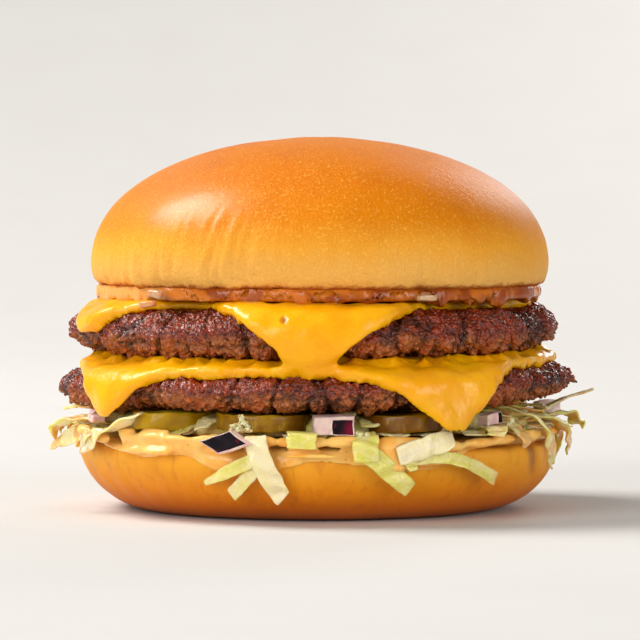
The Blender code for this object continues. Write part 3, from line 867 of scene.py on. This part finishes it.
def sauce(node, name, folds, grounds, runs=(), low=None, high=None):
    """A packed sauce layer that fills the room between its neighbours and runs a little over the lower."""
    piece = copy_of(node, name)
    work(piece, "SUBSURF", levels=1, render_levels=1)
    parts = [piece]
    for angle, radius, height, across, out, tall in runs:
        pick()
        bpy.ops.mesh.primitive_uv_sphere_add(
            segments=24, ring_count=12, radius=MM, location=place(angle, radius * MM, height * MM),
        )
        part = bpy.context.object
        part.scale = (across, out, tall)
        part.rotation_euler = (0, 0, math.radians(angle))
        parts.append(settle(part, "run"))
    pick(*parts)
    bpy.ops.object.join()
    work(piece, "REMESH", mode="VOXEL", voxel_size=0.55 * MM, use_smooth_shade=True)
    thin_out(piece, 46 * MM, 0.06)
    work(piece, "SMOOTH", factor=0.5, iterations=5)
    lay_on(piece, grounds, 2.4, 0.6)
    press(piece, lambda spot, normal: folds(spot, normal) * MM * ease(spread(spot), 44 * MM, 48 * MM))
    if high:
        for point in piece.data.vertices:
            turn = angle_of(point.co)
            run = 2.1 * ease(noise.noise(Vector((turn / 7, 0, 5))), 0.05, 0.45)
            run *= ease(spread(point.co), 48 * MM, 52 * MM)
            lift = ease(point.normal.z, 0.1, 0.7) * (high * MM - point.co.z)
            drop = ease(-point.normal.z, 0.1, 0.7) * (point.co.z - (low - run) * MM)
            point.co.z += max(0, lift) - max(0, drop)
    work(piece, "SMOOTH", factor=0.5, iterations=3)
    smooth(piece)
    return piece


# Thick runs and folds of the lower sauce, as (angle, radius, height, half width, half depth, half height).
RUNS = (
    (-47, 58.8, 19.3, 4.6, 1.6, 0.9), (-40, 59.4, 19.6, 4.6, 1.6, 0.9), (-33, 59.6, 19.3, 4.6, 1.5, 0.9),
    (-46, 59.7, 16.2, 4.4, 1.1, 0.85), (-38, 60.1, 16.1, 4.4, 1.1, 0.85), (-66, 59.8, 19.8, 3.2, 1.6, 1.3),
    (-57, 59.8, 18.4, 3.4, 1.4, 1.1), (14.5, 59.3, 16.2, 4.4, 1.1, 2.8), (17, 59.0, 13.8, 3.6, 0.8, 1.5),
    (25, 58.9, 14.4, 5.5, 0.8, 1.3), (-15, 58.3, 19.0, 6.5, 1.3, 1.4), (-25, 58.6, 19.2, 5.5, 1.4, 1.4),
    (-31, 58.9, 17.5, 4.5, 1.2, 1.4), (-4, 58.2, 19.0, 6.5, 1.3, 1.4),
    (7, 58.2, 19.0, 6.5, 1.3, 1.4), (18, 58.3, 18.9, 6.5, 1.3, 1.4), (-1.5, 59.7, 15.9, 6.5, 0.8, 0.7),
    (-42, 58.5, 17.9, 9.0, 1.3, 1.9), (-50, 58.0, 20.4, 3.6, 1.6, 1.0), (-40, 58.2, 20.5, 4.6, 1.6, 0.9),
    (29, 59.0, 17.4, 5, 1.6, 1.5), (38, 58.6, 18.1, 5, 1.8, 1.2), (46, 58.6, 18.6, 4, 1.8, 1.3),
    (55, 58.8, 19.2, 5.0, 1.6, 1.4), (64, 58.6, 19.4, 5.0, 1.4, 1.3), (74, 58.4, 19.4, 5.0, 1.4, 1.3),
    (150, 59, 18.6, 4, 1.6, 1.6), (215, 59, 18.2, 5, 1.6, 2.0), (262, 59, 18.6, 4, 1.6, 1.4),
)


def crown_folds(spot, normal):
    """Squeezed out unevenly under the crown, further at the sides, where it runs down."""
    angle = abs(angle_of(spot))
    side = ease(angle, 48, 66)
    return 1.1 * noise.noise(spot / (7 * MM)) + 0.3 * noise.noise(spot / (3 * MM)) - 0.9 + 1.0 * side


def heel_folds(spot, normal):
    """Smooth runs, with long creases along the left front."""
    angle = angle_of(spot)
    left = ease(angle, -62, -48) * (1 - ease(angle, -27, -18))
    bend = 0.9 * noise.noise(Vector((angle / 14, 0, 2)))
    crease = math.sin(spot.z / (0.9 * MM) + bend) * 0.15 * (1 - left)
    right = ease(angle, 46, 58)
    fine = (0.15 + 0.5 * right) * noise.noise(spot / (2.3 * MM))
    return crease + 0.5 * noise.noise(spot / (6 * MM)) + fine


# Lettuce.

# Each shred: width in millimetres, how green, how far it runs out in a tip, how crumpled, how slant its
# end is cut, then its route as (angle, radius, height).
SHREDS = (
    (3.4, 0.35, 0.6, 0.4, 0, (-70, 52, 24.2), (-76, 58, 24.8), (-82.5, 60.8, 24.0)),
    (6.4, 0.2, 0.5, 0.9, 0, (-64, 54, 21.5), (-70, 59, 22.4), (-76, 62.6, 20.8), (-80.5, 63.2, 18.2)),
    (4.6, 0.2, 0.9, 0.6, 0, (-64, 55, 19.8), (-70, 60, 18.8), (-75, 62.3, 17.0), (-80.8, 64.2, 14.7)),
    (5.6, 0.3, 0.3, 0.5, 0, (-84, 47, 19.7), (-84, 56, 21.4), (-85, 60.6, 20.8), (-86, 61.4, 18.4)),
    (5.0, 0.1, -0.3, 0.6, 0, (-43.6, 58.6, 24.6), (-47, 60.4, 22.8),
     (-53, 61.4, 20.2), (-60, 61.4, 17.6), (-66, 61, 16.2)),
    (4.4, 0.3, 0.2, 0.5, 0, (-60, 47, 19.7), (-60, 57, 20.2), (-61, 61.2, 19.2), (-66, 60.8, 16.4)),
    (3.4, 0.45, 0.8, 0.3, 0, (-12.6, 60.4, 15.8),
     (-17.5, 59.8, 13.5), (-22.2, 58.6, 11.4), (-27.2, 57.2, 9.2)),
    (3.4, 0.3, 0.1, 0.3, 0, (-12, 60.2, 15.2), (-14.8, 59.4, 12.2), (-17.6, 57.9, 9.4), (-20.8, 56.2, 6.7)),
    (5.2, 0.0, 0.3, 1.0, 0.8, (-13.8, 60.6, 20.4), (-13.2, 61.3, 17.4),
     (-11.8, 60.2, 12.8), (-9.9, 58.2, 9.0), (-8.3, 56.6, 6.0)),
    (6.8, 0.55, 0.0, 0.4, 0, (-3.8, 52, 20.4), (-3.8, 58.5, 21.0), (-3.9, 61.2, 20.2), (-4, 61.6, 17.6)),
    (6.2, 0.55, 0.1, 1.1, 0, (9.8, 47, 19.7), (9.8, 57, 20.4), (9.6, 61, 18.8), (9.8, 61.4, 14.6)),
    (4.8, 0.6, 0.2, 0.5, 0, (9.4, 60.6, 17.0), (12.4, 60.6, 14.6), (16.2, 59.2, 11.5), (20.6, 57.6, 7.9)),
    (5.8, 0.0, -0.25, 0.4, -1.7, (16.6, 61.0, 15.8),
     (21, 61.7, 17.2), (25.5, 61.7, 18.6), (29.4, 61.3, 19.8)),
    (3.2, 0.5, 0.5, 0.7, 0, (18.4, 61.2, 16.2), (19.6, 60.8, 14.4), (20.4, 60, 12.6)),
    (3.2, 0.5, -0.2, 0.5, 0, (20.5, 60.2, 14.8), (26, 60.6, 15.2),
     (31.5, 60.6, 14.5), (37, 60, 12.4), (42.8, 59, 9.6)),
    (5.2, 0.3, 0.2, 0.7, 0, (44.5, 50, 20.2), (43, 57, 21.4), (41.4, 60.8, 21.4), (40.6, 61.6, 19.6)),
    (5.6, 0.35, 0.7, 0.6, 0, (55, 52, 22.8), (56.6, 58, 23.4),
     (58.2, 61.2, 20.2), (60.5, 61.2, 15.8), (63.6, 60, 11.2)),
    (4.6, 0.4, 0.4, 0.8, 0, (63, 52, 22.6), (65.5, 59, 22.6), (69.4, 61.6, 18.6), (72.6, 61.0, 14.2)),
    (5.2, 0.5, 0.3, 0.9, 0, (76, 50, 21), (77.4, 57, 23.2), (80, 60.6, 22.4), (82, 61.8, 19.8)),
    (4.2, 0.3, 0.2, 0.7, 0, (50, 50, 21), (49.5, 57.5, 21.6), (49.8, 61, 19.4), (51, 61.4, 17.2)),
    (2.6, 0.0, 0.0, 0.2, 0, (88, 47, 19.9), (88.4, 53, 23.4), (89.2, 59, 26.2), (90, 65.3, 28.0)),
)


def station(points, travel):
    """A place on the smooth curve through a route's points, at a share of its length."""
    ends = [2 * points[0] - points[1]] + points + [2 * points[-1] - points[-2]]
    travel = travel * (len(points) - 1)
    leg = min(int(travel), len(points) - 2)
    share = travel - leg
    before, here, there, after = ends[leg : leg + 4]
    return (
        here
        + 0.5 * share * (there - before)
        + share**2 * (before - 2.5 * here + 2 * there - 0.5 * after)
        + share**3 * (1.5 * (here - there) + 0.5 * (after - before))
    )


def outward(spot):
    """The way a leaf faces: up where it lies on the heel, out from the axis where it hangs."""
    across = Vector((spot.x, spot.y, 0)).normalized()
    hanging = min(1, max(0, (20.4 * MM - spot.z) / (2.2 * MM)))
    return (across * hanging + Vector((0, 0, 1.05 - hanging))).normalized()


def shred(width, green, tip, crumple, slant, route, draw, cells=(7, 22)):
    """One strip of leaf: a grid along its route, cupped and crumpled, with a torn edge and a slant end."""
    pick()
    bpy.ops.mesh.primitive_grid_add(x_subdivisions=cells[0], y_subdivisions=cells[1], size=2)
    strip = bpy.context.object
    points = [place(angle, radius * MM, height * MM) for angle, radius, height in route]
    cup = draw.uniform(-0.25, 0.4)
    folds = draw.uniform(3, 5)
    seed = Vector((draw.uniform(0, 50), draw.uniform(0, 50), draw.uniform(0, 50)))
    across = []
    greens = []
    for vertex in strip.data.vertices:
        share = vertex.co.x
        travel = min(1, max(0, (vertex.co.y + 1) / 2))
        spot = station(points, travel)
        further, back = station(points, min(1, travel + 0.03)), station(points, max(0, travel - 0.03))
        ahead = (further - back).normalized()
        side = ahead.cross(outward(spot)).normalized()
        face = side.cross(ahead)
        half = width * MM / 2 * (1 - 0.85 * max(0, tip) * travel**3) * (1 + min(0, tip) * (1 - travel))
        half *= 1 + 0.16 * noise.noise(seed + Vector((share * 0.7, travel * 5, 0)))
        half += 0.22 * MM * noise.noise(seed + Vector((share * 3, travel * 22, 7)))
        panel = abs((travel * folds + 0.35 * share + seed.x) % 1 - 0.5) - 0.25
        frill = 0.9 * crumple * share**2 * noise.noise(seed + Vector((share, travel * 8, 5)))
        sway = noise.noise(seed + Vector((0.6 * share, travel * 4, 9)))
        curl = cup * (share * share - 0.3) + frill + (0.3 + 0.5 * crumple) * sway
        lift = (curl + 1.7 * crumple * panel) * MM
        skew = slant * MM * share * ease(travel, 0.6, 1)
        vertex.co = spot + side * half * share + face * lift + ahead * skew
        across.append(abs(share))
        greens.append(min(1, max(0, green + 0.25 * noise.noise(seed + Vector((share, travel * 3, 1))))))
    strip.data.attributes.new("across", "FLOAT", "POINT").data.foreach_set("value", across)
    strip.data.attributes.new("green", "FLOAT", "POINT").data.foreach_set("value", greens)
    work(strip, "SOLIDIFY", thickness=0.55 * MM, offset=0)
    work(strip, "SUBSURF", levels=1, render_levels=1)
    return strip


def gather(strips, name):
    pick(*strips)
    bpy.ops.object.join()
    piece = settle(strips[0], name)
    smooth(piece)
    return piece


def shreds():
    """All the strips as one piece: the front by their places, the back scattered, and a layer under both."""
    draw = random.Random(11)
    strips = [shred(*strip[:5], strip[5:], draw) for strip in SHREDS]
    angle = 98
    while angle < 264:
        drift = draw.uniform(-13, 13)
        low = draw.uniform(8, 19)
        end = 60.3 if low > 13 else 58.6
        route = (
            (angle, 50, 20.4),
            (angle + 0.2 * drift, 57, 20.6),
            (angle + 0.6 * drift, 60.0, 0.4 * low + 11.6),
            (angle + drift, end, low),
        )
        width = draw.uniform(3.4, 6)
        tip = draw.uniform(0, 0.8)
        green, crumple, slant = draw.uniform(0.05, 0.7), draw.uniform(0.4, 1.1), draw.uniform(-1.2, 1.2)
        strips.append(shred(width, green, tip, crumple, slant, route, draw, (6, 16)))
        angle += draw.uniform(5, 14)
    under_layer = 44
    bare_from, bare_to = 306, 338
    for k in range(under_layer):
        angle = k * 360 / under_layer + draw.uniform(-3, 3)
        turn = draw.uniform(-4, 4)
        route = (
            (angle, 49, 20.2),
            (angle + turn, 55, 20.3),
            (angle + 1.6 * turn, draw.uniform(57.6, 59.6), 19.9),
        )
        strip = shred(draw.uniform(5, 7.5), draw.uniform(0.05, 0.6), 0.2, 0.35, 0, route, draw, (4, 10))
        # At the left front the sauce lies bare under the pickles.
        if bare_from < angle < bare_to:
            bpy.data.objects.remove(strip)
        else:
            strips.append(strip)
    for _ in range(46):
        angle = draw.uniform(0, 360)
        turn = draw.uniform(-9, 9)
        top = draw.uniform(21.4, 25.2)
        route = (
            (angle, 44, top),
            (angle + turn * 0.5, 50, top + draw.uniform(-0.6, 0.6)),
            (angle + turn, draw.uniform(52.5, 55.5), top - draw.uniform(0.2, 2.4)),
        )
        width = draw.uniform(3.6, 6.5)
        green = draw.uniform(0.05, 0.6)
        strips.append(shred(width, green, 0.2, 0.6, 0.5, route, draw, (4, 10)))
    return gather(strips, "lettuce_shreds")


def bed():
    """The heap's own core, under the shreds."""
    outline = (
        (8, 19.1), (30, 19.1), (48, 19.1), (50.6, 19.6), (50.8, 22),
        (49, 24.2), (40, 25.3), (24, 25.5), (8, 25.5),
    )
    piece = spun("lettuce_core", outline, 64)
    close_ring(piece, 8, 19.1, 16)
    close_ring(piece, 8, 25.5, 16)
    work(piece, "SUBSURF", levels=1, render_levels=1)
    press(piece, lambda spot, normal: 0.5 * MM * (noise.noise(spot / (3 * MM)) - 0.4))
    mark(piece, "green", lambda spot, normal: 0.4 + 0.4 * noise.noise(spot / (7 * MM)))
    mark(piece, "across", lambda spot, normal: 0.6)
    smooth(piece)
    return piece


# Pickles, as (angle, width, depth, thickness, foot height, tilt, how bright).
PICKLES = (
    (-44.5, 18.8, 24, 4.2, 20.65, 0, 0.75),
    (-15.8, 22.2, 24, 3.9, 20.65, 1.5, 0.35),
    (23, 19.2, 24, 4.0, 20.65, -1, 0.2),
    (122, 22, 26, 4.2, 20.7, 0, 0.6),
    (160, 21, 25, 3.9, 20.7, 2, 0.4),
    (222, 22, 26, 3.6, 20.7, 0, 0.7),
)


def pickle(index, angle, width, depth, thickness, foot, tilt, bright):
    """A slice of pickled cucumber: a disc with rounded edges, its flesh drawn in a little."""
    slope = abs(math.sin(math.radians(tilt))) * width * MM / 2
    middle = place(angle, (58.2 - depth / 2) * MM, (foot + thickness / 2) * MM + slope)
    pick()
    bpy.ops.mesh.primitive_cylinder_add(
        vertices=40, radius=width * MM / 2, depth=thickness * MM, location=middle,
        rotation=(0, math.radians(tilt), math.radians(angle)),
    )
    chip = bpy.context.object
    chip.scale = (1, depth / width, 1)
    choose(chip, lambda spot: spread(spot) < 1 * MM)
    for inset in (0.5, 0.9, 1.6, 3.0):
        bpy.ops.mesh.inset(thickness=inset * MM)
    done()
    settle(chip, f"pickle_chip_{index}")
    work(chip, "BEVEL", width=1.1 * MM, segments=3, limit_method="ANGLE", angle_limit=math.radians(50))
    work(chip, "SUBSURF", levels=1, render_levels=1)
    seed = Vector((index * 7.0, 0, 0))

    def wobble(spot, normal):
        ragged = 0.5 * noise.noise(spot / (4.5 * MM) + seed) + 0.25 * noise.noise(spot / (1.8 * MM) + seed)
        return MM * (ragged - 0.12)

    press(chip, wobble)
    mark(chip, "rim", lambda spot, normal: ease(abs(normal.z), 0.85, 0.4))
    mark(chip, "bright", lambda spot, normal: bright + 0.2 * noise.noise(spot / (6 * MM) + seed))
    smooth(chip)
    return chip


# Onion, as (angle, radius, height of the middle, width, depth, height, turn in its own plane, lean of
# its upright edges, and the part of its outer face that is skin, from -1 to 1 across and up).
ONIONS = (
    (-19.8, 61.3, 18.85, 7.9, 3.4, 4.2, -18, -40, (-0.95, 0.92, -0.78, 0.94)),
    (3.2, 56.2, 22.65, 9.2, 6.4, 4.3, 0, 0, (-0.12, 0.94, -0.93, 0.6)),
    (42.5, 57.2, 23.4, 4.8, 3.6, 2.6, -10, 0, (0.45, 0.95, -0.9, 0.9)),
    (-64, 57.8, 22.6, 3.8, 3.4, 1.7, 8, 0, None),
    (-42, 55.9, 51.7, 4.4, 2.8, 2.2, 6, 0, None),
    (-43, 57.6, 49.4, 5.2, 2.2, 1.6, -8, 0, None),
    (25.5, 56.0, 51.1, 4.8, 2.6, 1.6, 0, 0, None),
    (100, 55.5, 22.8, 6.5, 5.0, 3.8, 10, 0, (-0.85, 0.85, -0.8, 0.8)),
    (141, 57.5, 23.0, 5.0, 4.5, 4.0, -15, 0, None),
    (190, 56.0, 22.8, 7.0, 5.0, 3.8, 12, 0, (-0.8, 0.3, -0.8, 0.8)),
    (250, 56.5, 22.2, 5.5, 4.5, 2.8, -8, 0, (-0.85, 0.85, -0.8, 0.8)),
)


def onion(index, angle, radius, height, width, depth, tall, turn, lean, skin):
    """A cut block of red onion: part of its outer face is a thin layer of dark skin."""
    pick()
    bpy.ops.mesh.primitive_cube_add(size=2)
    die = bpy.context.object
    die.data.materials.append(FLESH)
    die.data.materials.append(SKIN)
    choose(die)
    bpy.ops.mesh.subdivide(number_cuts=5)
    if skin:
        left, right, low, high = skin
        cuts = [((side, 0, 0), (1, 0, 0)) for side in (left, right)]
        cuts += [((0, 0, level), (0, 0, 1)) for level in (low, high)]
        for spot, way in cuts:
            bpy.ops.mesh.select_all(action="SELECT")
            bpy.ops.mesh.bisect(plane_co=spot, plane_no=way)
        done()
        choose(die, lambda spot: left < spot.x < right and low < spot.z < high and spot.y < -0.99)
        bpy.ops.mesh.inset(thickness=0.01, depth=0.02)
        die.active_material_index = 1
        bpy.ops.object.material_slot_assign()
    done()
    for point in die.data.vertices:
        corner = 0.16 * noise.noise_vector(point.co * 0.6 + Vector((index * 3.0, 0, 0)))
        x, y, z = ((c + w) * s / 2 for c, w, s in zip(point.co, corner, (width, depth, tall)))
        point.co = Vector((x + z * math.tan(math.radians(lean)), y, z)) * MM
    die.location = place(angle, radius * MM, height * MM)
    die.rotation_euler = (0, math.radians(turn), math.radians(angle))
    settle(die, f"onion_piece_{index}")
    work(die, "BEVEL", width=0.22 * MM, segments=2, limit_method="ANGLE", angle_limit=math.radians(60))
    work(die, "SUBSURF", subdivision_type="SIMPLE", levels=1, render_levels=1)
    if not skin:
        work(die, "SMOOTH", factor=0.8, iterations=90 if height > 40 else 12)
    press(die, lambda spot, normal: 0.3 * MM * (noise.noise(spot / (2.6 * MM)) - 0.3))
    smooth(die)
    return die


# Places of small pale bits, as (angle, radius, height, how many, how far they lie apart).
BITS = (
    (-18.0, 58.2, 22.2, 18, 1.2), (8.8, 59, 21.0, 6, 0.8), (46.5, 60, 22.4, 3, 0.6), (150, 59, 21.5, 8, 1.4),
    (205, 59, 22, 8, 1.4),
)


def bit(spot, size, rough, seed):
    """A small lump: a ball of faces, squeezed and broken."""
    pick()
    bpy.ops.mesh.primitive_ico_sphere_add(subdivisions=3, radius=size * MM, location=spot)
    lump = bpy.context.object
    choose(lump)
    bpy.ops.transform.resize(value=(1.2, 0.7, 0.85))
    done()
    settle(lump, "bit")

    def dents(spot, normal):
        return size * MM * (rough * noise.noise(spot / (size * 0.9 * MM) + seed) - 0.1)

    press(lump, dents)
    return lump


def pale_crumbs():
    """Wet crumbs of pickle and onion, in little heaps."""
    draw = random.Random(3)
    lumps = []
    for angle, radius, height, count, apart in BITS:
        for k in range(count):
            turn = angle + draw.gauss(0, 0.8 * apart)
            level = height + draw.gauss(0, 0.6 * apart)
            spot = place(turn, radius * MM, level * MM)
            lumps.append(bit(spot, draw.uniform(0.45, 0.9), 0.7, Vector((k, height, 0))))
    return gather(lumps, "pale_crumbs")


def mince_crumbs(grounds):
    """Crumbs that came off the patties, lying on what is next to them."""
    draw = random.Random(7)
    lumps = []
    for k in range(16):
        height = draw.uniform(10, 24)
        spot = place(draw.uniform(70, 290), 66 * MM, height * MM)
        spot = draw.choice(grounds).closest_point_on_mesh(spot)[1]
        lumps.append(bit(spot, draw.uniform(0.25, 0.5), 0.55, Vector((k, 9, 0))))
    crumbs = gather(lumps, "mince_crumbs")
    mark(crumbs, "crust", lambda spot, normal: 0.8)
    mark(crumbs, "relief", lambda spot, normal: 0.2)
    return crumbs


# Putting it together.

FLESH = onion_flesh()
SAUCED = sauced_onion()
SKIN = onion_skin()


def dress(piece, finish, slot, *nodes):
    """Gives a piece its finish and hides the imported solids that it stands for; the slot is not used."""
    if finish:
        piece.data.materials.clear()
        piece.data.materials.append(finish)
    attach(piece, "root")
    if nodes:
        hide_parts(*nodes)


def light(name, spot, size, power, colour):
    """A square studio light, turned to the middle of the burger."""
    lamp = bpy.data.lights.new(name, "AREA")
    lamp.size = size
    lamp.energy = power
    lamp.color = colour
    thing = bpy.data.objects.new(name, lamp)
    thing.location = spot
    thing.rotation_mode = "QUATERNION"
    thing.rotation_quaternion = (Vector((0, 0, 0.045)) - Vector(spot)).to_track_quat("-Z", "Y")
    bpy.context.scene.collection.objects.link(thing)


def studio():
    """Floor, lights and the camera of the photo: low, far away, a little above the burger's middle."""
    pick()
    bpy.ops.mesh.primitive_plane_add(size=2, location=(0, -1.5, -0.05 * MM))
    floor = bpy.context.object
    floor.scale = (5, 2.4, 1)
    settle(floor, "floor")
    choose(floor, lambda spot: spot.y > 0.8, "VERT")
    bend, steps = 1.6, 12
    for step in range(1, steps + 1):
        here, there = (math.radians(90 / steps * k) for k in (step - 1, step))
        rise = bend * (math.cos(here) - math.cos(there))
        run = bend * (math.sin(there) - math.sin(here))
        bpy.ops.mesh.extrude_region_move(TRANSFORM_OT_translate={"value": (0, run, rise)})
    bpy.ops.mesh.extrude_region_move(TRANSFORM_OT_translate={"value": (0, 0, 2)})
    bpy.ops.mesh.select_all(action="SELECT")
    bpy.ops.mesh.normals_make_consistent(inside=False)
    done()
    smooth(floor)
    floor.data.materials.append(studio_floor())
    light("softbox_above_left", (-1.25, 0.35, 1.45), 0.9, 46, (1, 0.98, 0.95))
    light("softbox_front_left", (-1.5, -2.0, 0.9), 1.4, 35, (1, 0.98, 0.96))
    light("softbox_front_right", (1.9, -1.8, 0.5), 1.5, 32, (1, 0.98, 0.97))
    light("rim_behind_right", (0.72, 1.7, 0.8), 0.55, 8, (1, 0.97, 0.94))
    world = bpy.data.worlds.new("studio_air")
    world.use_nodes = True
    world.node_tree.nodes["Background"].inputs["Color"].default_value = (0.96, 0.96, 0.96, 1)
    world.node_tree.nodes["Background"].inputs["Strength"].default_value = 0.26
    bpy.context.scene.world = world
    camera = bpy.data.objects.new("camera", bpy.data.cameras.new("camera"))
    eye_distance, eye_height, looks_down = 0.95, 0.075, 1.84
    camera.data.lens = 224.4
    camera.data.sensor_width = 36
    camera.location = (0, -eye_distance, eye_height)
    camera.rotation_euler = (math.radians(90 - looks_down), 0, 0)
    bpy.context.scene.collection.objects.link(camera)
    bpy.context.scene.camera = camera
    bpy.context.scene.view_settings.view_transform = "Standard"


def build():
    """Every piece, in its finish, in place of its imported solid."""
    beef = seared_beef()
    leaf = leaf_green()
    dress(crown(), crown_crust(), "bun", "bun_top")
    bottom = heel()
    dress(bottom, heel_crust(), "bun", "bun_bottom")
    patties = [patty("patty_top", "patty_upper", 0), patty("patty_bottom", "patty_lower", 17)]
    dress(patties[0], beef, "beef", "patty_top")
    dress(patties[1], beef, "beef", "patty_bottom")
    slices = cheese(patties)
    dress(slices, melted_cheese(), "cheese", "cheese_top", "cheese_bottom")
    # Painted shade: the sauce under the crown gets darker colours than the same sauce on the heel, for the
    # shade of the crown's lip, and a lighter one at its left end, which comes out into the light.
    under_crown = burger_sauce("sauce_under_crown", tint(206, 114, 24), tint(150, 66, 2), tint(240, 170, 88))
    on_heel = burger_sauce("sauce_on_heel", tint(252, 198, 106), tint(246, 174, 72), tint(250, 194, 106))
    squeezed = sauce("sauce_top", "sauce_upper", crown_folds, [patties[0], slices], (), 50.2, 53.2)
    dress(squeezed, under_crown, "sauce", "sauce_top")
    spilled = sauce("sauce_bottom", "sauce_lower", heel_folds, [bottom], RUNS)
    dress(spilled, on_heel, "sauce", "sauce_bottom")
    dress(shreds(), leaf, "lettuce", "lettuce")
    dress(bed(), leaf, "lettuce")
    green = pickle_green()
    for index, chip in enumerate(PICKLES, 1):
        dress(pickle(index, *chip), green, "pickle", f"pickle_{index}")
    for index, die in enumerate(ONIONS, 1):
        dress(onion(index, *die), SAUCED if index in (5, 6, 7) else None, "onion", f"onion_{index}")
    dress(pale_crumbs(), pale_bits(), "pickle")
    dress(mince_crumbs([spilled, patties[1]]), beef, "beef")


build()
studio()
